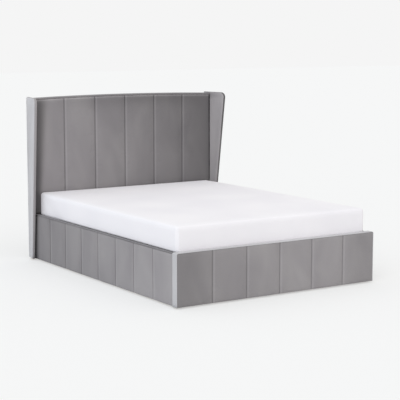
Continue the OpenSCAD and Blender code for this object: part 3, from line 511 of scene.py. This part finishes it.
# Drawn lying against the plane Y = 0 with its face towards -Y, middle at X = 0
def makeChannelPad(setup):
    width, bottom, depth, seam = (setup[key] for key in ("width", "bottom", "depth", "seamDepth"))
    pitch = width / setup["channels"]
    one = spread(pitch, setup["near"], setup["step"])
    us = [0.0]
    for c in range(setup["channels"]):
        us += [c * pitch + d for d in one[1:]]
    height = max(setup["top"](u - width / 2) for u in us) - bottom
    points = []
    held = {}
    tackWay, tackHold = setup["tack"]
    vs = spread(height, setup["nearEnds"], setup["step"])
    for v in vs:
        for u in us:
            x = u - width / 2
            z = bottom + v * (setup["top"](x) - bottom) / height
            toSeam = min(u % pitch, pitch - u % pitch)
            toEnd = min(v, height - v)
            toSide = max(0.0, min(u, width - u))
            across = swell(toSeam, pitch / 2, setup)
            ends = quarterRound(toEnd + setup["endLift"], setup["endRoll"])
            if toSide < pitch / 2:
                side = quarterRound(toSide, setup["sideRoll"]) * setup["sideRise"]
                across = setup["sideShare"] + (1 - setup["sideShare"]) * max(across, side)
            d = seam + (depth - seam) * across * ends
            wave = noise.noise(Vector((x * setup["waves"][0], z * setup["waves"][1], setup["seed"])))
            y = -(d * setup["full"] + wave * setup["waver"] * across * ends)
            if toSeam < 1e-6 or toEnd < 1e-6 or toSide < 1e-6:
                held[len(points)] = 1.0
            elif toSeam < tackWay or toEnd < tackWay:
                held[len(points)] = tackHold
            points.append(Vector((x * (1 + setup["flare"] * d / (width / 2)), y, z)))
    piece = makeObject(setup["name"], points, gridFaces(len(us), len(vs)), [velvet])
    simulate(piece, held, setup["cloth"])
    for vertex in piece.data.vertices:
        vertex.co.y = max(vertex.co.y, -depth - setup["proud"])
    refine(piece)

    def addBack(work):
        rim = [e for e in work.edges if e.is_boundary]
        under = {}
        for vertex in [v for v in work.verts if v.is_boundary]:
            shrink = 1 - setup["flare"] * -vertex.co.y / (width / 2)
            under[vertex] = work.verts.new((vertex.co.x * shrink, 0.0, vertex.co.z))
        for a, b in [edge.verts for edge in rim]:
            work.faces.new((a, b, under[b], under[a]))
        bmesh.ops.holes_fill(work, edges=[e for e in work.edges if e.is_boundary], sides=0)
        for face in work.faces:
            face.smooth = len(face.verts) < 5

    rework(piece, addBack)
    return piece


def finishPad(piece, node, body="base"):
    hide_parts(node)
    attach(piece, body)


# What the pads share, where they don't say otherwise
padSewing = {
    "channels": 6, "bottom": 0.011, "quickShare": 0.55, "sideRoll": 0.008, "sideShare": 0.30,
    "step": 0.012, "near": (0, 0.002, 0.005, 0.010, 0.017, 0.026),
    "nearEnds": (0, 0.003, 0.007, 0.013, 0.021),
    "full": 0.93,                      # share of the depth before the cloth is blown out
    "proud": 0.0005,                   # how far it may then stand over the depth
    "tack": (0.006, 0.7),              # how near to a seam it is still held, and how firmly
    "endLift": 0.001, "sideRise": 0.86, "waver": 0.0012, "waves": (7.0, 4.0), "flare": 0.0,
    "rimWide": 1.5,                    # the light beside a seam, in widths of the seam
}
padCloth = {"tension": 14, "bending": 0.4, "pressure": 3.0, "slack": 0.006, "frames": 18}
headPad = {
    **padSewing, "name": "headboardChannels", "width": 1.5873, "bottom": 0.351, "depth": 0.030,
    "seamDepth": 0.018, "roll": 0.018, "endRoll": 0.022, "flare": math.tan(bed["splay"]),
    "sideRoll": 0.012, "sideShare": 0.10, "step": 0.013, "seed": 3.0,
    "top": lambda x: archHeight(x) - bed["border"] - bed["borderGap"],
    "nearEnds": (0, 0.003, 0.008, 0.015, 0.025),
    # painted light and shade: shade deepening towards the right end, painted shade in the seams with a
    # painted highlight beside them, the painted shadow of the left wing widening upwards, painted shade
    # in the crease by the right wing, painted shade near the top and a painted highlight just under the
    # border
    "pileAndPaintedLight": {"ends": (0.24, -0.46), "seam": -0.40, "seamWide": 0.0045, "rim": 0.20, "rimOff": 0.010,
             "sides": ((-0.74, 0.0222), (-0.80, 0.0022)), "widen": 3.1, "fall": 4,
             "tops": ((-0.22, 0.085), (0.55, 0.009))},
    "cloth": {**padCloth, "most": 0.005},
}
footPad = {
    **padSewing, "name": "footboardChannels", "width": 1.5905, "depth": 0.0175, "seamDepth": 0.0095,
    "roll": 0.014, "endRoll": 0.012, "back": 0.018, "seed": 8.0, "top": lambda x: 0.3535,
    # painted shade in the seams with a painted highlight beside them; besides, lighter towards the right
    # end and darker near both ends
    "pileAndPaintedLight": {"ends": (0.03, 0.33), "seam": -0.38, "seamWide": 0.0045, "rim": 0.16, "rimOff": 0.010,
             "sides": ((-0.18, 0.25), (-0.265, 0.25)), "widen": 0, "fall": 4, "tops": ()},
    "cloth": {**padCloth, "most": 0.004},
}
railStart, railEnd = (corner[1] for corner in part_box("rail_pad_right"))
railPad = {
    **padSewing, "name": "railChannels", "width": railEnd - railStart, "channels": 8,
    "depth": 0.0148, "seamDepth": 0.0078, "roll": 0.012, "endRoll": 0.011, "back": 0.780, "seed": 5.0,
    "top": lambda x: 0.3455,
    # painted shade in the seams with a painted highlight beside them, painted shade in the gap by the
    # wing at the head end and in the crease at the foot end; besides, darker towards the head and lighter
    # towards the foot
    "pileAndPaintedLight": {"ends": (-0.15, 0.30), "seam": -0.38, "seamWide": 0.0050, "rim": 0.20, "rimOff": 0.012,
             "sides": ((-0.80, 0.045), (-0.20, 0.006)), "widen": 0, "fall": 2, "tops": ()},
    "cloth": {**padCloth, "most": 0.0035},
}

headboardPad = makeChannelPad(headPad)
moveMesh(headboardPad, Matrix.Translation((0, bed["face"] + headPad["depth"], 0)))
layPileAndPaintedLight(headboardPad, channelPaintedLight(headPad, lambda place: place.x + headPad["width"] / 2))
finishPad(headboardPad, "headboard_pad")
footboardPad = makeChannelPad(footPad)
moveMesh(footboardPad, Matrix.Translation((0, footPad["back"] - bed["halfLength"], 0)))
layPileAndPaintedLight(footboardPad, channelPaintedLight(footPad, lambda place: place.x + footPad["width"] / 2))
finishPad(footboardPad, "footboard_pad")
railRight = makeChannelPad(railPad)
railRight.name = "railChannelsRight"
railLeft = railRight.copy()
railLeft.data = railRight.data.copy()
railLeft.name = "railChannelsLeft"
scene.collection.objects.link(railLeft)
for piece, side, node in ((railRight, 1, "rail_pad_right"), (railLeft, -1, "rail_pad_left")):
    moveMesh(piece, Matrix.Translation((side * railPad["back"], (railStart + railEnd) / 2, 0))
             @ Matrix.Rotation(side * math.pi / 2, 4, "Z"))
    layPileAndPaintedLight(piece, channelPaintedLight(railPad, lambda place: railEnd - place.y))
    finishPad(piece, node)
print("channel pads are sewn")


# Rolled border along the top of the headboard

borderRoll = {
    "steps": 72, "arcSteps": 8, "flatSteps": 5, "front": 0.0045, "round": 0.0055, "height": 0.012,
    # painted shade on the border: darker all along, and more so towards the right
    "endGap": 0.0004, "dip": 0.0006, "waves": (16, 12, 1.7), "pileAndPaintedLight": (-0.16, -0.10),
}


def makeBorder(setup):
    front, back = bed["face"] + setup["front"], bed["halfLength"]
    high = setup["height"] / 2
    turns = [math.pi * k / setup["arcSteps"] for k in range(setup["arcSteps"] + 1)]
    arc = [(setup["round"] * (1 - math.sin(a)), high * math.cos(a) - high) for a in turns]
    section = [(front + way, rise) for way, rise in reversed(arc)]
    section += between((front + setup["round"], 0.0), (back - setup["round"], 0.0),
                       setup["flatSteps"], range(1, setup["flatSteps"] + 1))
    section += [(back - way, rise) for way, rise in arc[1:]]
    points = []
    for i in range(setup["steps"] + 1):
        t = -1 + 2 * i / setup["steps"]
        for y, rise in section:
            x = t * (bed["headHalf"] - (y - bed["face"]) * math.tan(bed["splay"]) - setup["endGap"])
            along, through, seed = setup["waves"]
            pull = setup["dip"] * noise.noise(Vector((x * along, y * through, seed)))
            points.append((x, y, archHeight(x) + rise - abs(pull)))
    piece = makeObject("headboardBorder", points, ringFaces(setup["steps"] + 1, len(section)), [velvet])
    rework(piece, mergePoints)
    return piece


headboardBorder = makeBorder(borderRoll)
# painted shade on the border, darker towards the right
layPileAndPaintedLight(headboardBorder, lambda place, normal: borderRoll["pileAndPaintedLight"][0] + borderRoll["pileAndPaintedLight"][1] * place.x)
finishPad(headboardBorder, "headboard_border")


# Wings: padded boards with a seam along both edges of their band

# In millimetres; an inset is the way in from the outline
wing = {
    "thick": 23, "top": 1236, "bottom": 10, "reachTop": 156, "reachBottom": 13, "corner": 40,
    "back": 82.1, "lowInset": 4, "backInset": 1.2,
    # how many steps on the front edge, round the corner, on the top, down the back and underneath
    "steps": (28, 10, 8, 24, 6),
    # (way through the wing, inset) from the middle of the inner face to the band
    "profile": ((1, 37), (0.3, 26), (0, 17), (0.15, 10), (0.8, 6), (1.7, 3.4), (2.8, 2),
                (3.7, 2.6), (4.6, 1.5), (6.4, 0.6), (8.8, 0.15)),
    "seam": 7,                         # which of them, seen from the outer face, is its seam
    "outerPuff": 1.5, "puffOver": 12, "waver": 0.5, "waverFrom": 5, "waves": (60, 90),
    # lightening of the outer face, painted light and shade of the band on the left and the right wing
    # (lit on the left, shaded on the right), and painted light on the inner face, less in the crease than
    # at the front
    "pileAndPaintedLight": {"outer": 0.12, "band": (0.25, -0.60), "crease": 0.08, "front": 0.48},
    "facing": 0.6,                     # how squarely a face looks sideways to count as inner or outer
}


def wingOutline(inset):
    front, bend, over, down, under = wing["steps"]
    r = wing["corner"] - inset
    top = wing["top"] - inset
    reachTop = wing["reachTop"] - inset
    reachBottom = wing["reachBottom"] - inset
    low = wing["bottom"] + min(inset, wing["lowInset"])
    back = wing["back"] - min(inset, wing["backInset"])
    lean = math.atan2(reachTop - reachBottom, top - wing["bottom"])
    middle = (-reachTop + r * (1 + math.sin(lean)) / math.cos(lean), top - r)
    turns = [math.pi + lean - (math.pi / 2 + lean) * k / bend for k in range(bend + 1)]
    arc = [(middle[0] + r * math.cos(a), middle[1] + r * math.sin(a)) for a in turns]
    points = between((-reachBottom, low), arc[0], front, range(front)) + arc
    points += between((arc[-1][0], top), (back, top), over, range(1, over + 1))
    points += between((back, top), (back, low), down, range(1, down + 1))
    points += between((back, low), (-reachBottom, low), under, range(1, under))
    return points


def makeWing(side):
    half = list(wing["profile"])
    rings = half + [(wing["thick"] / 2, 0.0)]
    rings += [(wing["thick"] - x, inset) for x, inset in reversed(half)]
    points = []
    for n, (x, inset) in enumerate(rings):
        outer = n > len(half)
        if outer:
            x += wing["outerPuff"] * min(inset / wing["puffOver"], 1.0)
        for y, z in wingOutline(inset):
            place = Vector((y / wing["waves"][0], z / wing["waves"][1], 4.0 + side + outer))
            puff = wing["waver"] * noise.noise(place) if inset > wing["waverFrom"] else 0
            points.append((side * (x - puff if outer else x + puff) / 1000, y / 1000, z / 1000))
    size = len(points) // len(rings)
    name = "wingRight" if side > 0 else "wingLeft"
    piece = makeObject(name, points, ringFaces(len(rings), size), [velvet, velvetLighter])
    seamRing = len(rings) - 1 - wing["seam"]
    count = (len(rings) - 1) * size
    for face in piece.data.polygons:
        ring = face.index // size
        outer = ring >= seamRing if face.index < count else face.index == count + 1
        face.material_index = 1 if outer else 0
    rework(piece)
    pileAndPaintedLight = wing["pileAndPaintedLight"]

    # painted light and shade by face: the outer face lighter, the band lit on the left wing and shaded on
    # the right, the inner face lit more at the front than in the crease
    def rule(place, normal):
        if side * normal.x > wing["facing"]:
            return pileAndPaintedLight["outer"]
        if side * normal.x < -wing["facing"]:
            share = min(max(-place.y * 1000 / wing["reachTop"], 0.0), 1.0)
            return pileAndPaintedLight["crease"] * (1 - share) + pileAndPaintedLight["front"] * share
        return pileAndPaintedLight["band"][0 if side < 0 else 1]

    layPileAndPaintedLight(piece, rule)
    moveMesh(piece, Matrix.Translation((side * bed["headHalf"], bed["face"], 0))
             @ Matrix.Rotation(side * bed["splay"], 4, "Z"))
    return piece


finishPad(makeWing(-1), "wing_cover_left")
finishPad(makeWing(1), "wing_cover_right")
print("headboard border and wings are covered")


# Footboard wrap: a padded band over the ends and the top, and the plain back

wrap = {
    "halfWidth": 0.800, "bottom": 0.010, "top": 0.358, "front": 0.003,
    "corner": 0.012, "leastCorner": 0.006,
    "steps": (12, 8, 60),              # up each end, round each corner and along the top
    # in millimetres, (way in from the outline, way back from the front) round the band
    "section": ((4, 0.4), (2.4, 0), (1, 0.8), (0.3, 2.6), (0, 6), (0, 18), (0, 30),
                (0, 42), (0.3, 49), (1.2, 53), (2.6, 54.6), (4, 55), (4, 51), (4, 28)),
    # makes the whole wrap a little lighter
    "pileAndPaintedLight": 0.08,
    "panel": (0.0542, 0.0578),         # front and back of the plain panel
    "panelInset": 0.004, "panelSteps": (40, 8), "waver": 0.0006, "waves": (5, 6, 2.0),
}


def makeWrap():
    upright, bend, along = wrap["steps"]
    bottom = wrap["bottom"]
    turns = [math.pi / 2 * k / bend for k in range(bend + 1)]
    points = []
    for inset, y in wrap["section"]:
        r = max(wrap["corner"] - inset / 1000, wrap["leastCorner"])
        half = wrap["halfWidth"] - inset / 1000
        top = wrap["top"] - inset / 1000
        arc = [(r * math.cos(a), r * math.sin(a)) for a in turns]
        path = between((-half, bottom), (-half, top - r), upright, range(upright))
        path += [(-half + r - c, top - r + s) for c, s in arc]
        path += between((-half + r, top), (half - r, top), along, range(1, along))
        path += [(half - r + s, top - r + c) for c, s in arc]
        path += between((half, top - r), (half, bottom), upright, range(1, upright + 1))
        points += [(x, wrap["front"] + y / 1000 - bed["halfLength"], z) for x, z in path]
    rings = len(wrap["section"])
    size = len(points) // rings
    faces = []
    for j in range(rings):
        n = (j + 1) % rings
        for i in range(size - 1):
            faces.append((j * size + i, n * size + i, n * size + i + 1, j * size + i + 1))
    faces.append(tuple(j * size for j in range(rings)))
    faces.append(tuple(j * size + size - 1 for j in reversed(range(rings))))
    piece = makeObject("footboardWrap", points, faces, [velvetLighter, velvet])
    rework(piece, addPanel)
    return piece


# The plain panel that closes the back inside the band, its outer side slightly uneven
def addPanel(work):
    bottom = wrap["bottom"]
    a, b = wrap["halfWidth"] - wrap["panelInset"], wrap["top"] - wrap["panelInset"]
    y0, y1 = (y - bed["halfLength"] for y in wrap["panel"])
    columns, rows = wrap["panelSteps"]
    wide = columns + 1
    layer = wide * (rows + 1)
    waveX, waveZ, seed = wrap["waves"]
    made = []
    for y in (y0, y1):
        for j in range(rows + 1):
            for i in range(wide):
                x = -a + 2 * a * i / columns
                z = bottom + (b - bottom) * j / rows
                loose = y == y1 and 0 < i < columns and 0 < j < rows
                rise = wrap["waver"] * noise.noise(Vector((x * waveX, z * waveZ, seed))) if loose else 0
                made.append(work.verts.new((x, y + rise, z)))
    faces = []
    for offset in (0, layer):
        faces += [[f + offset for f in face] for face in gridFaces(wide, rows + 1)]
    rim = list(range(wide)) + [j * wide + columns for j in range(1, rows + 1)]
    rim += [rows * wide + i for i in range(columns - 1, -1, -1)]
    rim += [j * wide for j in range(rows - 1, 0, -1)]
    faces += [[k, m, m + layer, k + layer] for k, m in zip(rim, rim[1:] + rim[:1])]
    for face in faces:
        new = work.faces.new([made[k] for k in face])
        new.material_index = 1
        new.smooth = False


footboardWrap = makeWrap()
# the whole wrap a little lighter
layPileAndPaintedLight(footboardWrap, lambda place, normal: wrap["pileAndPaintedLight"])
finishPad(footboardWrap, "footboard_wrap")


# Side rail caps: the cloth turned over the top of the rail and down inside it

# Sections in millimetres, as (way across, height) on the right rail
cap = {
    "foot": ((755, 10), (757, 10), (757, 346), (793, 346)),
    "roll": (791.4, 347.8, 1.6, 1.9), "turns": (0, 0.5, 1, 1.4),
    "crown": ((785, 349.85), (772, 350), (761, 349.9), (757.2, 349.5), (755.6, 348.4),
              (755, 346.8)),
    # behind the pad the cloth is drawn close round the end of the board
    "end": ((755, 10), (757, 10), (757, 346), (780, 346), (780, 10), (792, 10),
            (792, 347), (790.5, 348.2), (756.5, 348.2), (755, 346.8)),
    "footGap": 0.0005, "endGap": 0.0002, "endReach": 0.0298, "steps": (60, 4),
    "waver": 0.0004, "waverAbove": 347, "waves": (0.01, 6, 0.01),
    # painted shade: darker along the top of the rail, and darker still round its end in the gap by the
    # wing
    "pileAndPaintedLight": (-0.35, -0.65),            # along the rail and round its end
    "flat": 0.05,                      # faces that slope less than this stay sharp
}


def sweepSection(name, section, y0, y1, steps, waver=0.0):
    points = []
    for j in range(steps + 1):
        y = y0 + (y1 - y0) * j / steps
        for x, z in section:
            lift = waver * noise.noise(Vector([p * wave for p, wave in zip((x, y, z), cap["waves"])]))
            points.append((x / 1000, y, z / 1000 + (lift if z > cap["waverAbove"] else 0)))
    return makeObject(name, points, ringFaces(steps + 1, len(section)), [velvet])


def makeRailCap(side):
    x, z, wide, high = cap["roll"]
    roll = [(x + wide * math.cos(a), z + high * math.sin(a)) for a in cap["turns"]]
    foot = wrap["panel"][1] - bed["halfLength"] + cap["footGap"]
    main = sweepSection("cap", [*cap["foot"], *roll, *cap["crown"]], foot, railEnd, cap["steps"][0],
                        cap["waver"])
    end = sweepSection("capEnd", cap["end"], railEnd + cap["endGap"], bed["face"] + cap["endReach"],
                       cap["steps"][1])
    rework(main, lambda work: work.from_mesh(end.data))
    bpy.data.objects.remove(end)
    main.name = "railCapRight" if side > 0 else "railCapLeft"
    if side < 0:
        moveMesh(main, Matrix.Scale(-1, 4, (1, 0, 0)))
    for face in main.data.polygons:
        face.use_smooth = len(face.vertices) < 5 and abs(face.normal.z) > cap["flat"]
    return main


for side, node in ((-1, "rail_cap_left"), (1, "rail_cap_right")):
    piece = makeRailCap(side)
    # painted shade on the caps, deepest round their ends by the wings
    layPileAndPaintedLight(piece, lambda place, normal: cap["pileAndPaintedLight"][place.y > railEnd + cap["endGap"] / 2])
    finishPad(piece, node)
print("footboard wrap and rail caps are made")


# Mattress

mattressLow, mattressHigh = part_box("mattress")
sleeper = {
    "half": (0.750, (mattressHigh[1] - mattressLow[1]) / 2),
    "middle": (mattressLow[1] + mattressHigh[1]) / 2,
    "thick": 0.205, "corner": 0.022, "edge": 0.020, "crown": 0.005,
    "near": (0, 0.005, 0.010, 0.016, 0.022, 0.028, 0.034, 0.044, 0.056), "step": 0.028,
    "nearUp": (0, 0.005, 0.010, 0.016, 0.022, 0.028, 0.034, 0.0365, 0.039, 0.044), "stepUp": 0.020,
    # the border is drawn in by the first share of this, and swells back in its middle by the second
    "draw": 0.003, "drawShares": (0.6, 0.35),
    # the edges' tape is held near the side, near the top and bottom, and how firmly
    "tack": (0.03, 0.02, 0.8),
    # uneven top, wide and fine: how high, waves per metre along X, Y and Z, and a shift
    "waver": ((0.0012, 2.2, 2.2, 0, 9), (0.0005, 9, 7, 9, 0)), "waverAbove": 0.1,
    # swells sideways above the rails, and less where the lifted mattress dips between them
    "bulge": (0.0045, 0.0105), "bulgeFrom": 0.034, "bulgeOver": 0.005, "bulgeSide": (0.6, 0.15),
    # height at full lift: of the origin, per metre towards the head and per metre up; free from, and over
    "lifted": (0.7627, -0.6046, 0.7965), "free": (0.365, 0.10),
    "cloth": {"tension": 20, "bending": 2.0, "pressure": 1.5, "slack": 0.002, "frames": 14,
              "most": 0.003},
}


# A place on the square plan moved onto the plan with round corners
def planPlace(x, y):
    (hx, hy), rc = sleeper["half"], sleeper["corner"]
    ax, ay = abs(x) - (hx - rc), abs(y) - (hy - rc)
    if ax <= 0 or ay <= 0:
        return x, y
    u, v = ax / rc, ay / rc
    nx, ny = u * math.sqrt(1 - v * v / 2), v * math.sqrt(1 - u * u / 2)
    return math.copysign(hx - rc + nx * rc, x), math.copysign(hy - rc + ny * rc, y)


# The same in three dimensions, with round edges, a drawn border and a crowned top
def rounded(x, y, z):
    (hx, hy), thick = sleeper["half"], sleeper["thick"]
    rc, re = sleeper["corner"], sleeper["edge"]
    px, py = planPlace(x, y)
    qx, qy = max(abs(px) - (hx - rc), 0), max(abs(py) - (hy - rc), 0)
    reach = math.hypot(qx, qy)
    nx, ny, delta = 0, 0, rc
    if reach > 1e-9:
        nx, ny, delta = math.copysign(qx / reach, px), math.copysign(qy / reach, py), rc - reach
    depth = min(z, thick - z)
    if delta < re and depth < re and min(abs(depth), abs(delta)) < 1e-9:
        a, b = re - delta, re - depth
        size = math.hypot(a, b)
        inwards = re - a * re / size - delta
        px, py = px - nx * inwards, py - ny * inwards
        newDepth = re - b * re / size
        z = newDepth if z < thick / 2 else thick - newDepth
    rise = z / thick
    edges, middle = sleeper["drawShares"]
    bow = math.sin(math.pi * rise) if reach > rc - re - 1e-6 else 0
    inwards = sleeper["draw"] * (edges - middle * bow)
    px, py = px - nx * inwards, py - ny * inwards
    if rise > 0.5:
        z += sleeper["crown"] * ((1 - (px / hx) ** 4) * (1 - (py / hy) ** 4) * (rise - 0.5) * 2 - 1)
    return Vector((px, py, z))


# Swell over the rails at a place of the mattress, outwards
def swellOut(x, y, z):
    origin, perMetre, perRise = sleeper["lifted"]
    over = min(max(z - sleeper["bulgeFrom"], 0) / sleeper["bulgeOver"], 1.0)
    high = origin + perMetre * (y + sleeper["middle"]) + perRise * z
    free = min(max((high - sleeper["free"][0]) / sleeper["free"][1], 0.0), 1.0)
    inner, wide = sleeper["bulgeSide"]
    size = sleeper["bulge"][0] + sleeper["bulge"][1] * free
    return size * over * over * (3 - 2 * over) * max(abs(x) - inner, 0) / wide


def mattressSkin():
    hx, hy = sleeper["half"]
    xs = [d - hx for d in spread(2 * hx, sleeper["near"], sleeper["step"])]
    ys = [d - hy for d in spread(2 * hy, sleeper["near"], sleeper["step"])]
    zs = spread(sleeper["thick"], sleeper["nearUp"], sleeper["stepUp"])
    points = []
    index = {}

    def addPoint(x, y, z):
        key = (round(x, 5), round(y, 5), round(z, 5))
        if key not in index:
            index[key] = len(points)
            points.append(rounded(x, y, z))
        return index[key]

    faces = []
    for z, flip in ((0.0, True), (sleeper["thick"], False)):
        for y, nextY in zip(ys, ys[1:]):
            for x, nextX in zip(xs, xs[1:]):
                quad = [addPoint(*p, z) for p in ((x, y), (nextX, y), (nextX, nextY), (x, nextY))]
                faces.append(tuple(reversed(quad)) if flip else tuple(quad))
    loop = [(x, -hy) for x in xs[:-1]] + [(hx, y) for y in ys[:-1]] + [(x, hy) for x in reversed(xs[1:])]
    loop += [(-hx, y) for y in reversed(ys[1:])]
    for p, q in zip(loop, loop[1:] + loop[:1]):
        for z, nextZ in zip(zs, zs[1:]):
            faces.append((addPoint(*p, z), addPoint(*q, z), addPoint(*q, nextZ), addPoint(*p, nextZ)))
    return points, faces


def makeMattress():
    hx, hy = sleeper["half"]
    thick = sleeper["thick"]
    piece = makeObject("mattressBody", *mattressSkin(), [ticking])
    rework(piece, mergePoints)
    sideWay, topWay, hold = sleeper["tack"]
    held = {}
    for vertex in piece.data.vertices:
        x, y, z = vertex.co
        edgeWay = min(hx - abs(x), hy - abs(y))
        if z < 0.001:
            held[vertex.index] = 1.0
        elif edgeWay < sideWay and (z > thick - topWay or z < topWay):
            held[vertex.index] = hold
    simulate(piece, held, sleeper["cloth"])
    for vertex in piece.data.vertices:
        x, y, z = vertex.co
        soft = sum(size * noise.noise(Vector((x * a, y * b, z * c + shift)))
                   for size, a, b, c, shift in sleeper["waver"])
        vertex.co.z = min(max(z + (soft if z > sleeper["waverAbove"] else 0), 0.0), thick)
        vertex.co.y = min(max(y, -hy), hy)
        vertex.co.x = min(max(x, -hx), hx) + math.copysign(swellOut(x, y, z), x)
    refine(piece)
    moveMesh(piece, Matrix.Translation((0, sleeper["middle"], mattressLow[2])))
    return piece


finishPad(makeMattress(), "mattress", "platform")
print("mattress is filled")


# Pull strap: a plain band of webbing over the foot tube

strap = {
    "width": 0.038, "thick": 0.0022, "bend": 0.004, "turns": (0.4, 0.8, 1.2, 1.57), "steps": 10,
    "endRound": (0.0004, 0.0006, 0.002),   # ways in and up at the rounded lower end
    "innerBend": (0.0015, 0.0008),
    "edges": (0.0008, 0.004), "pinch": 0.0004,
}


def makeStrap():
    (_, y0, z0), (_, y2, z1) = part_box("pull_strap")
    half, t, bend, steps = (strap[key] for key in ("width", "thick", "bend", "steps"))
    half /= 2
    endIn, endUp, endHigh = strap["endRound"]
    low, close = strap["innerBend"]
    outer = [(y2, z1), (y0 + bend, z1)]
    outer += [(y0 + bend - bend * math.sin(a), z1 - bend + bend * math.cos(a)) for a in strap["turns"]]
    outer += between((y0, z1 - bend), (y0, z0 + endHigh), steps, range(1, steps + 1))
    outer += [(y0 + endIn, z0 + endUp), (y0 + t / 2, z0)]
    inner = [(y0 + t - endIn, z0 + endUp), (y0 + t, z0 + endHigh)]
    inner += between((y0 + t, z0 + endHigh), (y0 + t, z1 - t - low), steps, range(1, steps))
    inner += [(y0 + t, z1 - t - close), (y0 + t + close, z1 - t), (y2, z1 - t)]
    section = outer + inner
    inwards = [half - way for way in (0, *strap["edges"])]
    xs = [-x for x in inwards] + [0] + inwards[::-1]
    points = []
    for x in xs:
        pinch = strap["pinch"] if abs(x) == half else 0
        points += [(x, y + (pinch if n < len(outer) else -pinch), z) for n, (y, z) in enumerate(section)]
    piece = makeObject("pullStrap", points, ringFaces(len(xs), len(section)), [webbing])
    rework(piece, mergePoints)
    return piece


pullStrap = makeStrap()
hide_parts("pull_strap")
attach(pullStrap, "platform")


# Staples round the back of the headboard, by Geometry Nodes

staples = {"spacing": 0.045, "length": 0.010, "wire": 0.0006, "inset": 0.012, "ground": 0.010,
           "steps": 40}


def staplePath(setup):
    half = bed["headHalf"] - (bed["halfLength"] - bed["face"]) * math.tan(bed["splay"]) - setup["inset"]
    low = setup["ground"] + setup["inset"]
    y = bed["halfLength"]
    xs = [half - 2 * half * k / setup["steps"] for k in range(setup["steps"] + 1)]
    top = [(x, y, archHeight(x) - bed["border"] - setup["inset"]) for x in xs]
    points = [(half, y, low)] + top + [(-half, y, low), (half, y, low)]
    mesh = bpy.data.meshes.new("backStaples")
    mesh.from_pydata(points, [(k, k + 1) for k in range(len(points) - 1)], [])
    piece = bpy.data.objects.new("backStaples", mesh)
    scene.collection.objects.link(piece)
    return piece


def stapleTree(material):
    tree = bpy.data.node_groups.new("stapleRow", "GeometryNodeTree")
    face = tree.interface
    face.new_socket("Path", in_out="INPUT", socket_type="NodeSocketGeometry")
    for name in ("Spacing", "Length", "Wire"):
        face.new_socket(name, in_out="INPUT", socket_type="NodeSocketFloat")
    face.new_socket("Staples", in_out="OUTPUT", socket_type="NodeSocketGeometry")
    given = addNode(tree, "NodeGroupInput")
    curve = addNode(tree, "GeometryNodeMeshToCurve", {}, {"Mesh": given.outputs["Path"]})
    spots = addNode(tree, "GeometryNodeCurveToPoints", {"mode": "LENGTH"},
                    {"Curve": curve.outputs[0], "Length": given.outputs["Spacing"]})
    size = addNode(tree, "ShaderNodeCombineXYZ", {},
                   {"X": given.outputs["Wire"], "Y": given.outputs["Wire"], "Z": given.outputs["Length"]})
    bar = addNode(tree, "GeometryNodeMeshCube", {}, {"Size": size.outputs[0]})
    onPoints = addNode(tree, "GeometryNodeInstanceOnPoints", {},
                       {"Points": spots.outputs["Points"], "Instance": bar.outputs["Mesh"],
                        "Rotation": spots.outputs["Rotation"]})
    real = addNode(tree, "GeometryNodeRealizeInstances", {}, {"Geometry": onPoints.outputs[0]})
    paint = addNode(tree, "GeometryNodeSetMaterial", {"Material": material},
                    {"Geometry": real.outputs[0]})
    addNode(tree, "NodeGroupOutput", {}, {0: paint.outputs[0]})
    return tree


def stapleBack(setup):
    piece = staplePath(setup)
    grow = piece.modifiers.new("staples", "NODES")
    grow.node_group = stapleTree(zincSteel)
    for socket in grow.node_group.interface.items_tree:
        if socket.in_out == "INPUT" and socket.name.lower() in setup:
            grow[socket.identifier] = setup[socket.name.lower()]
    bakeModifiers(piece)
    return piece


backStaples = stapleBack(staples)
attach(backStaples, "base")
print("strap and staples are fixed")


# Finishes of the parts that come from the frame as they are

finishes = {
    chipboard: "headboard_board wing_board footboard_board rail_board",
    hardboard: "floor_panels",
    pine: "rest_ledges",
    pineAcross: "headboard_crossbars floor_bearers foot_ledges",
    pineUpright: "headboard_posts",
    beech: "slats",
    bondedCloth: "headboard_back",
    blackSteel: "base_plate lift_arm stay_link strut_cylinder platform_bracket side_tube foot_tube "
                "head_tube middle_tube bracket_bolts plate_screws wing_bolts",
    zincSteel: "corner_brackets base_pins platform_pins",
    chromeRod: "strut_rod",
    blackPlastic: "glides tube_plugs side_holders middle_holders",
}
for material, names in finishes.items():
    for name in names.split():
        nodes = [name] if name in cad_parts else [name + "_left", name + "_right"]
        for node in nodes:
            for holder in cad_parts[node].material_slots:
                holder.material = material
print("frame parts have their finishes")
